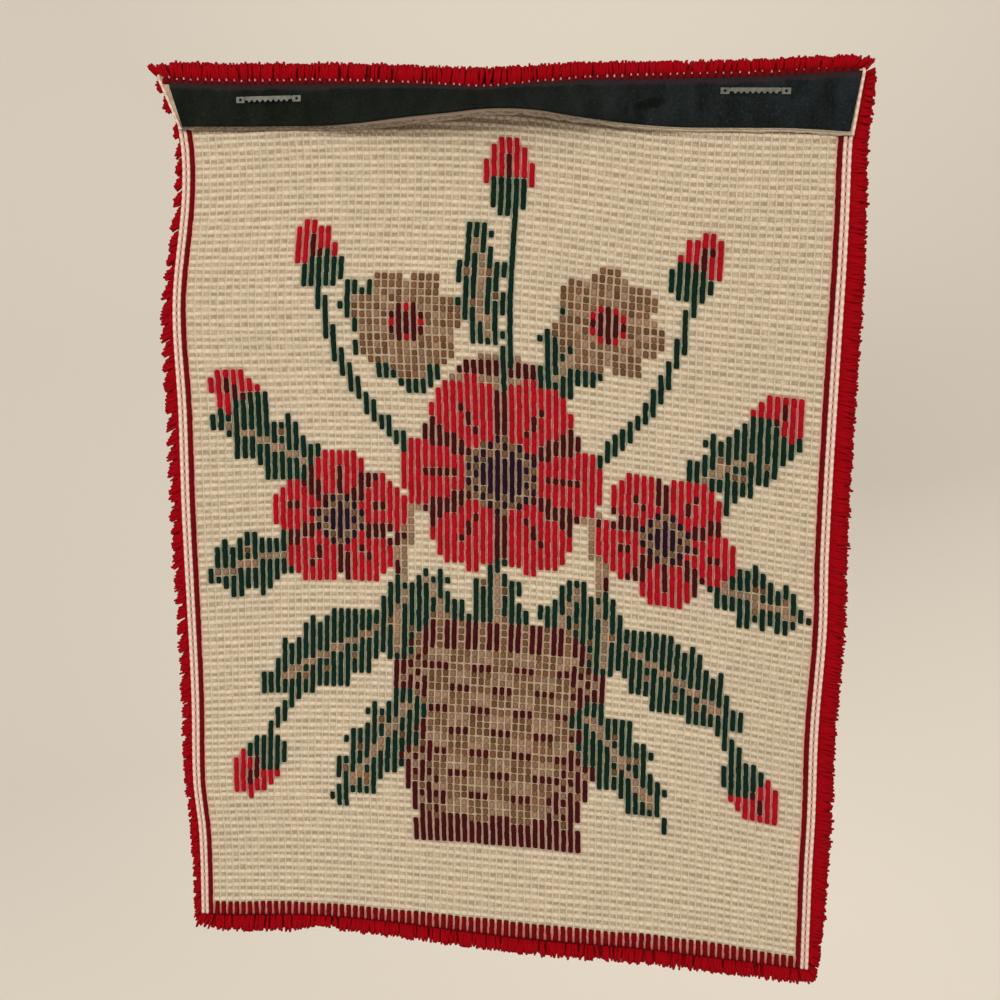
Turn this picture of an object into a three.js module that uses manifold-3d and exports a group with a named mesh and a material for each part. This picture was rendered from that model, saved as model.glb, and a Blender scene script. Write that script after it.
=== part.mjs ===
import * as THREE from "three";
import Module from "manifold-3d";

// A latch hook wall hanging, seen from its wrong side. Sizes are in millimetres.
// X runs to the viewer's right, Y away from the viewer to the wall, Z up.
// The origin is the middle of the fold along the top edge.

const canvas = { thickness: 3, panelY: 3, columns: 24, rows: 22 };
const hem = { thickness: 2, foldRadius: 3, foldSteps: 4 };
const pile = { depth: 19, gap: 0.4, edgeGap: 0.66, aboveFold: 1.2 };
const band = { thickness: 1.6, gap: 1.06, aboveHemEdge: 3 };
const hanger = {
  length: 67, height: 6, thickness: 0.8, tab: 8.5, step: 1.5, raise: 1.4,
  teeth: 8, toothPitch: 5.6, toothDepth: 2, holeRadius: 1.5, gap: 0.5,
};

// Left and right edges of the canvas on the way down.
const sideEdges = [
  { z: 10, left: -357, right: 353 },
  { z: -45, left: -337, right: 346 },
  { z: -108, left: -332, right: 344 },
  { z: -225, left: -338, right: 344 },
  { z: -341, left: -329, right: 346 },
  { z: -470, left: -325.5, right: 349 },
  { z: -545, left: -324, right: 352 },
  { z: -650, left: -322.5, right: 350 },
  { z: -743, left: -322.5, right: 352 },
  { z: -808, left: -316, right: 352 },
  { z: -925, left: -313, right: 354 },
];

// The fold along the top and the cut edge along the bottom.
const topFold = [
  { x: -360, z: 7 },
  { x: -273, z: 5 },
  { x: -150, z: 5 },
  { x: -16, z: 0 },
  { x: 88, z: 5 },
  { x: 196, z: 6 },
  { x: 360, z: 10 },
];
const bottomEdge = [
  { x: -320, z: -903 },
  { x: -264, z: -900 },
  { x: -195, z: -893 },
  { x: -80, z: -890 },
  { x: 73, z: -893 },
  { x: 160, z: -896 },
  { x: 245, z: -904 },
  { x: 330, z: -912 },
  { x: 360, z: -915 },
];

// The hem along the fold: how deep it is, how far its free edge stands out from the panel,
// and how far below the start of the hem the upper edge of the band is sewn.
const hemShape = [
  { x: -360, deep: 55, out: 0, seam: 5 },
  { x: -272, deep: 53, out: 0, seam: 6.4 },
  { x: -200, deep: 52.6, out: 0, seam: 6.3 },
  { x: -161, deep: 53, out: 6, seam: 7.3 },
  { x: -106, deep: 53, out: 18, seam: 8.6 },
  { x: -62, deep: 53, out: 25.5, seam: 9.6 },
  { x: -16, deep: 53, out: 31, seam: 13.2 },
  { x: 29, deep: 53, out: 28, seam: 8.9 },
  { x: 71, deep: 53, out: 17.5, seam: 6.2 },
  { x: 127, deep: 53.3, out: 5, seam: 4 },
  { x: 183, deep: 54.8, out: 0, seam: 3 },
  { x: 250, deep: 56.5, out: 0, seam: 2.8 },
  { x: 300, deep: 58.5, out: 0, seam: 1.9 },
  { x: 360, deep: 65.5, out: 4, seam: 0.2 },
];
const hemEnds = { topLeft: -357, topRight: 353, freeLeft: -333, freeRight: 344.5 };
const bandEnds = { topLeft: -345.5, topRight: 349, freeLeft: -328, freeRight: 339.5 };

// Soft swellings of the hanging cloth: centre, spread each way and rise towards the viewer.
const swellings = [
  { x: -345, z: -392, spreadX: 75, spreadZ: 230, rise: 21 },
  { x: 60, z: -492, spreadX: 230, spreadZ: 230, rise: -11 },
  { x: 355, z: -112, spreadX: 110, spreadZ: 260, rise: 15 },
  { x: 60, z: -932, spreadX: 200, spreadZ: 130, rise: 20 },
];
const calmBelowFold = 110;

// How far the pile reaches past each edge of the canvas, and how much its tufts differ.
const reach = { top: 20, left: 15, right: 17, bottom: 17, uneven: 3.2, teeth: 2, pastCorner: 10, atCorner: 0.6 };

const hangerPlaces = [
  { name: "hanger_left", x: -237.3, z: -19.3, tilt: 1.4 },
  { name: "hanger_right", x: 248.5, z: -12.7, tilt: -0.3 },
];

const wasm = await Module();
wasm.setup();

// A smooth line through the rows of a table.
function follow(rows, along, name, at) {
  const forward = rows[rows.length - 1][along] > rows[0][along];
  const list = forward ? rows : [...rows].reverse();
  const last = list.length - 2;
  let i = list.findIndex((row, k) => k <= last && at < list[k + 1][along]);
  if (i < 0) i = last;
  const span = list[i + 1][along] - list[i][along];
  const slope = (k) => {
    const a = list[Math.max(k - 1, 0)];
    const b = list[Math.min(k + 1, last + 1)];
    return ((b[name] - a[name]) / (b[along] - a[along])) * span;
  };
  const t = THREE.MathUtils.clamp((at - list[i][along]) / span, 0, 1);
  const [p, q, m, n] = [list[i][name], list[i + 1][name], slope(i), slope(i + 1)];
  return p + m * t + (3 * (q - p) - 2 * m - n) * t * t + (2 * (p - q) + m + n) * t ** 3;
}

function rise(x, z) {
  const swell = (s) => s.rise * Math.exp(-(((x - s.x) / s.spreadX) ** 2) - ((z - s.z) / s.spreadZ) ** 2);
  const sum = swellings.reduce((total, s) => total + swell(s), 0);
  return sum * (1 - Math.exp(-((z / calmBelowFold) ** 2)));
}

const mix = THREE.MathUtils.lerp;

// A place on the hanging panel: across from 0 at the left, down from 0 at the fold.
function panelPoint(across, down) {
  let x = mix(sideEdges[2].left, sideEdges[2].right, across);
  let z = 0;
  for (let pass = 0; pass < 6; pass += 1) {
    z = mix(follow(topFold, "x", "z", x), follow(bottomEdge, "x", "z", x), down);
    x = mix(follow(sideEdges, "z", "left", z), follow(sideEdges, "z", "right", z), across);
  }
  return new THREE.Vector3(x, canvas.panelY - (down > 0 ? rise(x, z) : 0), z);
}

// The columns of facets, with one of them on the hem's crease.
function columnPlaces() {
  const crease = hemShape.reduce((a, b) => (b.out > a.out ? b : a)).x;
  const creaseAt = (crease - hemEnds.topLeft) / (hemEnds.topRight - hemEnds.topLeft);
  const places = Array.from({ length: canvas.columns + 1 }, (_, i) => i / canvas.columns);
  places[Math.round(creaseAt * canvas.columns)] = creaseAt;
  return places;
}
const columns = columnPlaces();
const panelGrid = columns.map((across) => {
  const top = follow(topFold, "x", "z", panelPoint(across, 0).x);
  const bottom = panelPoint(across, 1).z;
  const firstDown = hem.foldRadius / (top - bottom);
  return Array.from({ length: canvas.rows + 1 }, (_, j) => panelPoint(across, mix(firstDown, 1, j / canvas.rows)));
});

// The hem in front of the panel: where it leaves the fold, its free edge, and its tilt.
function hemSection(across) {
  const x = mix(hemEnds.topLeft, hemEnds.topRight, across);
  const top = follow(topFold, "x", "z", x);
  const deep = follow(hemShape, "x", "deep", x);
  const tilt = Math.asin(Math.max(follow(hemShape, "x", "out", x), 0) / deep);
  const r = hem.foldRadius;
  const start = new THREE.Vector3(x, -r * Math.cos(tilt), top - r + r * Math.sin(tilt));
  const freeX = mix(hemEnds.freeLeft, hemEnds.freeRight, across);
  const length = deep - r;
  const end = new THREE.Vector3(freeX, start.y - length * Math.sin(tilt), start.z - length * Math.cos(tilt));
  const outward = new THREE.Vector3(0, -Math.cos(tilt), Math.sin(tilt));
  // The band covers the hem between these two shares of its length.
  const cover = { from: follow(hemShape, "x", "seam", x) / length, to: 1 - band.aboveHemEdge / length };
  return { x, top, tilt, start, end, outward, cover };
}

// A closed body between two matching grids of points.
function bodyBetween(gridA, gridB) {
  const wide = gridA.length;
  const high = gridA[0].length;
  const points = [...gridA.flat(), ...gridB.flat()];
  const a = (i, j) => i * high + j;
  const b = (i, j) => wide * high + i * high + j;
  const faces = [];
  const quad = (p, q, r, s) => faces.push(p, q, r, p, r, s);
  for (let i = 0; i < wide - 1; i += 1) {
    for (let j = 0; j < high - 1; j += 1) {
      quad(a(i, j), a(i + 1, j), a(i + 1, j + 1), a(i, j + 1));
      quad(b(i, j), b(i, j + 1), b(i + 1, j + 1), b(i + 1, j));
    }
    quad(a(i, 0), b(i, 0), b(i + 1, 0), a(i + 1, 0));
    quad(a(i, high - 1), a(i + 1, high - 1), b(i + 1, high - 1), b(i, high - 1));
  }
  for (let j = 0; j < high - 1; j += 1) {
    quad(a(0, j), a(0, j + 1), b(0, j + 1), b(0, j));
    quad(a(wide - 1, j), b(wide - 1, j), b(wide - 1, j + 1), a(wide - 1, j + 1));
  }
  return bodyOf(points, faces);
}

// A bar along rings of points, closed with a cap at each end.
function barAlong(rings) {
  const n = rings[0].length;
  const faces = [];
  for (let i = 0; i < rings.length - 1; i += 1) {
    for (let k = 0; k < n; k += 1) {
      const [p, q] = [i * n + k, i * n + ((k + 1) % n)];
      faces.push(p, q, q + n, p, q + n, p + n);
    }
  }
  const end = (rings.length - 1) * n;
  for (let k = 1; k < n - 1; k += 1) {
    faces.push(0, k + 1, k);
    faces.push(end, end + k, end + k + 1);
  }
  return bodyOf(rings.flat(), faces);
}

function bodyOf(points, faces) {
  const volume = faces.reduce((sum, _, i) => {
    if (i % 3) return sum;
    const [p, q, r] = [points[faces[i]], points[faces[i + 1]], points[faces[i + 2]]];
    return sum + p.dot(new THREE.Vector3().crossVectors(q, r));
  }, 0);
  const outward = volume > 0 ? faces : faces.toReversed();
  const geometry = new THREE.BufferGeometry().setFromPoints(points);
  geometry.setIndex(outward);
  return geometry;
}

function canvasGeometry() {
  const half = { panel: canvas.thickness / 2, hem: hem.thickness / 2 };
  const front = [];
  const back = [];
  columns.forEach((across, i) => {
    const s = hemSection(across);
    const rows = [];
    for (const k of [1, 0.5, 0]) {
      rows.push({ at: s.start.clone().lerp(s.end, k), out: s.outward, half: half.hem });
    }
    const bend = Math.PI - s.tilt;
    for (let k = 1; k < hem.foldSteps; k += 1) {
      const angle = bend * (1 - k / hem.foldSteps);
      const out = new THREE.Vector3(0, Math.cos(angle), Math.sin(angle));
      const at = new THREE.Vector3(s.x, 0, s.top - hem.foldRadius).addScaledVector(out, hem.foldRadius);
      rows.push({ at, out, half: mix(half.hem, half.panel, k / hem.foldSteps) });
    }
    const behind = new THREE.Vector3(0, 1, 0);
    panelGrid[i].forEach((at) => rows.push({ at, out: behind, half: half.panel }));
    front.push(rows.map((row) => row.at.clone().addScaledVector(row.out, -row.half)));
    back.push(rows.map((row) => row.at.clone().addScaledVector(row.out, row.half)));
  });
  return bodyBetween(front, back);
}

function bandGeometry() {
  const near = hem.thickness / 2 + band.gap;
  const far = near + band.thickness;
  const sections = columns.map(hemSection);
  const spanTop = hemEnds.topRight - hemEnds.topLeft;
  const spanFree = hemEnds.freeRight - hemEnds.freeLeft;
  const inset = {
    left: [(bandEnds.topLeft - hemEnds.topLeft) / spanTop, (bandEnds.freeLeft - hemEnds.freeLeft) / spanFree],
    right: [(bandEnds.topRight - hemEnds.topLeft) / spanTop, (bandEnds.freeRight - hemEnds.freeLeft) / spanFree],
  };
  const grid = (offset) => sections.map((s, i) => [s.cover.to, 0.5, s.cover.from].map((k) => {
    const at = s.start.clone().lerp(s.end, k).addScaledVector(s.outward, offset);
    const ends = { 0: inset.left, [sections.length - 1]: inset.right }[i];
    if (ends) at.x = mix(hemEnds.topLeft + spanTop * ends[0], hemEnds.freeLeft + spanFree * ends[1], k);
    return at;
  }));
  return bodyBetween(grid(near), grid(far));
}

// The pile behind the canvas follows the panel's back, a hair away from it.
function pileGeometry() {
  const near = canvas.thickness / 2 + pile.gap;
  const shifted = (offset) => panelGrid.map((column) => {
    const top = column[0].clone();
    top.z += hem.foldRadius + pile.aboveFold;
    return [top, ...column].map((at) => new THREE.Vector3(at.x, at.y + offset, at.z));
  });
  return bodyBetween(shifted(near), shifted(near + pile.depth));
}

// Tuft ends differ from place to place along an edge.
function tuft(k) {
  const wave = Math.sin(k * 2.4) * 0.55 + Math.sin(k * 0.71 + 1.3) * 0.45;
  return reach.uneven * (k % 2 ? 0.6 + 0.4 * wave : -0.6 + 0.4 * wave);
}

// Cross-section of the edge pile: how far out, as a share of its reach, and how deep.
const combSection = [
  { out: 0, deep: -0.5 },
  { out: 0.6, deep: 0 },
  { out: 1, deep: 7 },
  { out: 0.8, deep: 16 },
  { out: 0, deep: 20.5 },
];

// A comb of tufts along a line of points, each with the same direction outwards.
function combAlong(line, outward, length) {
  const steps = reach.teeth * 2;
  const total = (line.length - 1) * steps;
  const rings = [];
  for (let k = 0; k <= total; k += 1) {
    const i = Math.min(Math.floor(k / steps), line.length - 2);
    const at = line[i].clone().lerp(line[i + 1], k / steps - i);
    const fromEnd = Math.min(k, total - k) / steps;
    const rounding = mix(reach.atCorner, 1, Math.min(fromEnd, 1));
    rings.push({ at, out: (length + tuft(k)) * rounding });
  }
  return barAlong(rings.map(({ at, out }) => combSection.map((p) => {
    const point = at.clone().addScaledVector(outward, p.out * out);
    point.y += p.deep;
    return point;
  })));
}

// The top and bottom combs run on past the corners of the canvas.
function pastCorners(line) {
  const first = line[0].clone();
  const last = line[line.length - 1].clone();
  first.x -= reach.pastCorner;
  last.x += reach.pastCorner;
  return [first, ...line, last];
}

function sideComb(side) {
  const i = side === "left" ? 0 : canvas.columns;
  const outward = new THREE.Vector3(side === "left" ? -1 : 1, 0, 0);
  const line = panelGrid[i].map((at) => at.clone().addScaledVector(outward, pile.edgeGap));
  return combAlong(line, outward, reach[side]);
}

function topComb() {
  const up = new THREE.Vector3(0, 0, 1);
  const clear = pile.aboveFold + pile.gap;
  const line = columns.map((across) => {
    const s = hemSection(across);
    return new THREE.Vector3(s.x, canvas.panelY - 1.5, s.top + clear + pile.gap);
  });
  return combAlong(pastCorners(line), up, reach.top - clear);
}

function bottomComb() {
  const down = new THREE.Vector3(0, 0, -1);
  const line = panelGrid.map((column) => {
    const at = column[column.length - 1].clone();
    return at.addScaledVector(down, pile.gap);
  });
  return combAlong(pastCorners(line), down, reach.bottom);
}

function solidOf(geometry) {
  const plain = geometry.index ? geometry.toNonIndexed() : geometry;
  const place = plain.getAttribute("position");
  const seen = new Map();
  const vertProperties = [];
  const triVerts = [];
  for (let i = 0; i < place.count; i += 1) {
    const xyz = [place.getX(i), place.getY(i), place.getZ(i)].map((v) => Math.round(v * 1e4) / 1e4);
    const key = xyz.join(" ");
    if (!seen.has(key)) {
      seen.set(key, seen.size);
      vertProperties.push(...xyz);
    }
    triVerts.push(seen.get(key));
  }
  return new wasm.Manifold(new wasm.Mesh({
    numProp: 3, vertProperties: new Float32Array(vertProperties), triVerts: new Uint32Array(triVerts),
  }));
}

function geometryOf(solid) {
  const mesh = solid.getMesh();
  const geometry = new THREE.BufferGeometry();
  geometry.setAttribute("position", new THREE.BufferAttribute(mesh.vertProperties, 3));
  geometry.setIndex(new THREE.BufferAttribute(mesh.triVerts, 1));
  return geometry;
}

// A plate cut from an outline in X and Z, its front at the given Y.
function plate(shape, frontY) {
  const geometry = new THREE.ExtrudeGeometry(shape, {
    depth: hanger.thickness, bevelEnabled: false, curveSegments: 8,
  });
  geometry.rotateX(Math.PI / 2);
  geometry.translate(0, frontY + hanger.thickness, 0);
  return geometry;
}

// A flat hanger: two pierced tabs, and between them a raised bar with teeth below.
// Its back lies in the plane of the band, and its middle is at the origin.
function hangerGeometry() {
  const { length, height, tab, step, teeth, toothPitch, toothDepth, thickness } = hanger;
  const lowFront = -thickness;
  const highFront = -thickness - hanger.raise;
  const tabShape = new THREE.Shape();
  tabShape.moveTo(-tab / 2, -height / 2).lineTo(tab / 2, -height / 2);
  tabShape.lineTo(tab / 2, height / 2).lineTo(-tab / 2, height / 2).closePath();
  tabShape.holes.push(new THREE.Path().absarc(0, 0, hanger.holeRadius, 0, Math.PI * 2, true));
  const barHalf = length / 2 - tab - step;
  const barTop = height / 2 - 0.6;
  const barFoot = -height / 2 + toothDepth;
  const barShape = new THREE.Shape();
  barShape.moveTo(-barHalf, barTop).lineTo(-barHalf, barFoot);
  for (let k = 0; k < teeth; k += 1) {
    const middle = (k - (teeth - 1) / 2) * toothPitch;
    barShape.lineTo(middle - toothPitch * 0.42, barFoot).lineTo(middle - toothPitch * 0.12, barFoot - toothDepth);
    barShape.lineTo(middle + toothPitch * 0.12, barFoot - toothDepth).lineTo(middle + toothPitch * 0.42, barFoot);
  }
  barShape.lineTo(barHalf, barFoot).lineTo(barHalf, barTop).closePath();
  let solid = solidOf(plate(barShape, highFront));
  for (const side of [-1, 1]) {
    const tabPlate = plate(tabShape, lowFront);
    tabPlate.translate(side * (length / 2 - tab / 2), 0, 0);
    const link = new THREE.Shape();
    const [inner, outer] = [side * (barHalf - 0.3), side * (barHalf + step + 0.3)];
    link.moveTo(inner, highFront + 0.05).lineTo(outer, lowFront + 0.05);
    link.lineTo(outer, -0.05).lineTo(inner, highFront + thickness - 0.05).closePath();
    const linkBar = new THREE.ExtrudeGeometry(link, { depth: barTop - barFoot - 0.4, bevelEnabled: false });
    linkBar.translate(0, 0, barFoot + 0.2);
    solid = solid.add(solidOf(tabPlate)).add(solidOf(linkBar));
  }
  return geometryOf(solid);
}

function hangerMesh({ name, x, z, tilt }) {
  const mesh = new THREE.Mesh(hangerGeometry(), metal);
  mesh.name = name;
  const bandFront = -hem.foldRadius - hem.thickness / 2 - band.gap - band.thickness;
  mesh.position.set(x, bandFront - hanger.gap, z);
  mesh.rotation.y = THREE.MathUtils.degToRad(-tilt);
  return mesh;
}

const cream = new THREE.MeshStandardMaterial({ color: 0xdecdaa, roughness: 0.95, metalness: 0 });
const red = new THREE.MeshStandardMaterial({ color: 0x9c0a18, roughness: 0.95, metalness: 0 });
const green = new THREE.MeshStandardMaterial({ color: 0x212621, roughness: 0.9, metalness: 0 });
const metal = new THREE.MeshStandardMaterial({ color: 0x9a9a95, roughness: 0.4, metalness: 0.9 });

function piece(name, geometry, material) {
  const mesh = new THREE.Mesh(geometry, material);
  mesh.name = name;
  return mesh;
}

const hanging = new THREE.Group();
hanging.add(
  piece("canvas", canvasGeometry(), cream),
  piece("pile", pileGeometry(), red),
  piece("pile_top", topComb(), red),
  piece("pile_left", sideComb("left"), red),
  piece("pile_right", sideComb("right"), red),
  piece("pile_bottom", bottomComb(), red),
  piece("heading_band", bandGeometry(), green),
  ...hangerPlaces.map(hangerMesh),
);

export default hanging;
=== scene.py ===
from math import radians

import bpy
import numpy as np
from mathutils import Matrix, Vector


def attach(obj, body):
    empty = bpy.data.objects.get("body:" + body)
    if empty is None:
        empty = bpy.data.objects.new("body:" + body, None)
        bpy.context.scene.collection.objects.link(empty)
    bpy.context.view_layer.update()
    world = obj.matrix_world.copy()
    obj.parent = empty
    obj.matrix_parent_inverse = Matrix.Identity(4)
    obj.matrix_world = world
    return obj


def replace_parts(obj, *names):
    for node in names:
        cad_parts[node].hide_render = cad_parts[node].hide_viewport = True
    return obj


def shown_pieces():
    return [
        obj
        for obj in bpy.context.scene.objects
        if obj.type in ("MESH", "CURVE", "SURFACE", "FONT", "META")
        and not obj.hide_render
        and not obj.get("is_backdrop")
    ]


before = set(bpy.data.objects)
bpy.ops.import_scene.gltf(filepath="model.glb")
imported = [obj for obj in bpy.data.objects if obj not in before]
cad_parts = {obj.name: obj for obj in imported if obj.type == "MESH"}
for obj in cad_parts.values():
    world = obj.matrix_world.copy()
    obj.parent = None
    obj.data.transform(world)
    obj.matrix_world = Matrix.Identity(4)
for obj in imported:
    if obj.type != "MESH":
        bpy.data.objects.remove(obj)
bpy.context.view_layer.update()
mm = 0.001
luck = np.random.default_rng(11)
up, behind = np.array([0, 0, 1.0]), np.array([0, 1.0, 0])


# Camera, floor and lamps

lens = {"length": 27.36, "sensor": 36, "place": (0.066, -0.7913, -0.3585), "turn": (85.5, -1.65, 4.16)}
bpy.ops.object.camera_add(location=lens["place"], rotation=[radians(a) for a in lens["turn"]])
camera = bpy.context.object
camera.name = "photoCamera"
camera.data.lens = lens["length"]
camera.data.sensor_width = lens["sensor"]
camera.data.clip_start = 0.02
bpy.context.scene.camera = camera
bpy.context.scene.view_settings.view_transform = "Standard"

studio = {"radius": 3.4, "height": 5.0, "floor": -1.45, "corner": 1.5, "corners": 14, "glow": 0.57,
          "glowColour": (255, 251, 246), "paint": (236, 227, 213), "roughness": 0.9}


# Rows of named values, for places along an edge, for lamps and for the motifs of the design
def rowsOf(names, *rows):
    return [dict(zip(names.split(), row)) for row in rows]


lamps = rowsOf(
    "name at aim size power colour",
    ("keyLamp", (-0.8, -2.4, -0.1), (0.0, 0.0, -0.45), 0.8, 26, (255, 250, 243)),
    ("sideLamp", (1.6, -1.5, 0.3), (0.0, 0.0, -0.45), 1.4, 9, (255, 248, 238)),
    ("backdropLamp", (0.0, 0.8, 2.3), (0.0, 3.4, 1.7), 1.6, 18, (255, 250, 243)),
    ("backLamp", (0.7, 2.0, 1.1), (0.0, 0.0, -0.4), 1.3, 24, (255, 250, 244)))


# The linear colour of a mixed paint given as red, green and blue from 0 to 255
def tint(red, green, blue):
    shares = np.array([red, green, blue]) / 255
    return (*np.where(shares < 0.04045, shares / 12.92, ((shares + 0.055) / 1.055) ** 2.4).tolist(), 1.0)


# Shader maths: a wire is a socket that can be reckoned with
class Wire:
    def __init__(self, finish, socket):
        self.finish = finish
        self.socket = socket

    def reckon(self, operation, first, second=0.0):
        return self.finish.node("ShaderNodeMath", {"operation": operation}, {0: first, 1: second})

    def __add__(self, other):
        return self.reckon("ADD", self, other)

    def __sub__(self, other):
        return self.reckon("SUBTRACT", self, other)

    def __rsub__(self, other):
        return self.reckon("SUBTRACT", other, self)

    def __mul__(self, other):
        return self.reckon("MULTIPLY", self, other)

    def __truediv__(self, other):
        return self.reckon("DIVIDE", self, other)

    def __pow__(self, other):
        return self.reckon("POWER", self, other)

    def __abs__(self):
        return self.reckon("ABSOLUTE", self)

    def wave(self):
        return self.reckon("SINE", self)

    def fit(self):
        return self.finish.node("ShaderNodeClamp", {}, {0: self, 1: 0.0, 2: 1.0})

    __radd__ = __add__
    __rmul__ = __mul__


class Finish:
    def __init__(self, name):
        self.material = bpy.data.materials.new(name)
        self.material.use_nodes = True
        self.nodes = self.material.node_tree.nodes
        self.links = self.material.node_tree.links
        self.shader = self.nodes["Principled BSDF"]

    def node(self, kind, settings=None, inputs=None, output=0):
        made = self.nodes.new(kind)
        for key, value in (settings or {}).items():
            setattr(made, key, value)
        for key, value in (inputs or {}).items():
            self.feed(made.inputs[key], value)
        return Wire(self, made.outputs[output])

    def feed(self, socket, value):
        if isinstance(value, Wire):
            self.links.new(value.socket, socket)
        else:
            socket.default_value = value

    def set(self, **sockets):
        for name, value in sockets.items():
            self.feed(self.shader.inputs[name.replace("_", " ")], value)
        return self

    def mix(self, share, first, second):
        return self.node("ShaderNodeMix", {"data_type": "RGBA"}, {0: share, 6: first, 7: second}, 2)

    def shaded(self, colour, shade):
        return self.node("ShaderNodeVectorMath", {"operation": "SCALE"}, {0: colour, "Scale": shade})

    def noise(self, scale, detail, stretch=(1, 1, 1)):
        spot = self.node("ShaderNodeTexCoord", output=3)
        spot = self.node("ShaderNodeMapping", {}, {0: spot, 3: stretch})
        return self.node("ShaderNodeTexNoise", {}, {"Vector": spot, "Scale": scale, "Detail": detail})

    def run(self):
        place = self.node("ShaderNodeUVMap", {"uv_map": "run"})
        return [self.node("ShaderNodeSeparateXYZ", {}, {0: place}, axis) for axis in (0, 1)]

    def tone(self):
        return self.node("ShaderNodeAttribute", {"attribute_name": "tone"}, output=2)

    def paint(self):
        return self.node("ShaderNodeAttribute", {"attribute_name": "paint"}, output=0)

    def bump(self, height, depth):
        return self.node("ShaderNodeBump", {}, {"Height": height, "Distance": depth * mm})

    # The last step of every yarn and cloth: its colour, how it shines and the bumps of its surface
    def wear(self, colour, style, height):
        return self.set(Base_Color=colour, Roughness=style["roughness"], Specular_IOR_Level=style["gloss"],
                        Normal=self.bump(height, style["bumpDepth"]))


# Selects what passes a test in edit mode, by one kind of element, and stays there
def selectOnly(kind, test):
    bpy.ops.object.mode_set(mode="EDIT")
    bpy.ops.mesh.select_mode(type=kind)
    bpy.ops.mesh.select_all(action="DESELECT")
    bpy.ops.object.mode_set(mode="OBJECT")
    data = bpy.context.object.data
    for part in {"VERT": data.vertices, "EDGE": data.edges, "FACE": data.polygons}[kind]:
        part.select = test(part)
    bpy.ops.object.mode_set(mode="EDIT")


# The floor curves up into a round backdrop, so that no edge shows behind the hanging
def makeBackdrop():
    bpy.ops.object.select_all(action="DESELECT")
    middle = studio["floor"] + studio["height"] / 2
    bpy.ops.mesh.primitive_cylinder_add(vertices=96, radius=studio["radius"], depth=studio["height"],
                                        location=(0, 0, middle))
    cove = bpy.context.object
    cove.name = "studioFloor"
    bpy.ops.object.transform_apply(location=True)
    corners = cove.data.vertices
    selectOnly("FACE", lambda face: face.normal.z > 0.5)
    bpy.ops.mesh.delete(type="FACE")
    selectOnly("EDGE", lambda edge: max(corners[v].co.z for v in edge.vertices) < studio["floor"] + mm)
    bpy.ops.mesh.bevel(offset=studio["corner"], segments=studio["corners"], affect="EDGES")
    bpy.ops.mesh.select_all(action="SELECT")
    bpy.ops.mesh.flip_normals()
    bpy.ops.object.mode_set(mode="OBJECT")
    bpy.ops.object.shade_smooth()
    paint = Finish("studioPaint").set(Base_Color=tint(*studio["paint"]), Roughness=studio["roughness"])
    cove.data.materials.append(paint.material)
    cove.visible_shadow = False
    cove.visible_diffuse = False
    cove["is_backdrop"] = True


def makeLights():
    sky = bpy.data.worlds.new("studioLight")
    bpy.context.scene.world = sky
    sky.use_nodes = True
    glow = sky.node_tree.nodes["Background"]
    glow.inputs[0].default_value = tint(*studio["glowColour"])
    glow.inputs[1].default_value = studio["glow"]
    for lamp in lamps:
        place, aim = np.array(lamp["at"]), np.array(lamp["aim"])
        bpy.ops.object.light_add(type="AREA", location=lamp["at"])
        light = bpy.context.object
        light.name = lamp["name"]
        light.rotation_euler = Vector(place - aim).to_track_quat("Z", "Y").to_euler()
        light.data.size = lamp["size"]
        light.data.energy = lamp["power"]
        light.data.color = tint(*lamp["colour"])[:3]


makeBackdrop()
makeLights()
print("camera, floor and lamps are set")


# Shape of the hanging cloth, in millimetres

# The runs number the rows of the canvas for its finish: below 0 on the hem, and from 10 on the panel
canvas = {"thickness": 1.8, "panelY": 3, "across": 92, "down": 76, "edgeInset": 11,
          "firstGuess": (-332, 344), "hemRun": -50, "panelRun": (10, 910)}
# The hem's solid is thicker by so much in front, and its free edge hangs lower here by so much in the middle
hem = {"thickness": 1.6, "foldRadius": 3, "foldSteps": 7, "steps": 7, "fray": 0.5, "solidOver": 0.2,
       "lower": [(-230, 0), (-150, 3.5), (-60, 5), (-10, 5), (50, 2.5), (120, 0)]}
sideEdges = rowsOf(
    "z left right", (10, -357, 353), (-45, -337, 346), (-108, -332, 344), (-225, -338, 344),
    (-341, -329, 346), (-470, -325.5, 349), (-545, -324, 352), (-650, -322.5, 350), (-743, -322.5, 352),
    (-808, -316, 352), (-925, -313, 354))
topFold = rowsOf("x z", (-360, 7), (-273, 5), (-150, 5), (-16, 0), (88, 5), (196, 6), (360, 10))
bottomEdge = rowsOf(
    "x z", (-320, -903), (-264, -900), (-195, -893), (-80, -890), (73, -893), (160, -896), (245, -904),
    (330, -912), (360, -915))
# The hem: how deep it is, how far its free edge stands out, and how low the band's upper edge is sewn
hemShape = rowsOf(
    "x deep out seam", (-360, 55, 0, 5), (-272, 53, 0, 6.4), (-200, 52.6, 0, 6.3), (-161, 53, 6, 7.3),
    (-106, 53, 18, 8.6), (-62, 53, 25.5, 9.6), (-16, 53, 31, 13.2), (29, 53, 28, 8.9), (71, 53, 17.5, 6.2),
    (127, 53.3, 5, 4), (183, 54.8, 0, 3), (250, 56.5, 0, 2.8), (300, 58.5, 0, 1.9), (360, 65.5, 4, 0.2))
hemEnds = {"topLeft": -357, "topRight": 353, "freeLeft": -333, "freeRight": 344.5}
# Places where the cloth stands out towards the viewer or sinks back
swellings = rowsOf("x z wide high rise", (-345, -392, 75, 230, 21), (60, -492, 230, 230, -11),
                   (355, -112, 110, 260, 15), (60, -932, 200, 130, 20))
calmBelowFold = 110
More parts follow.
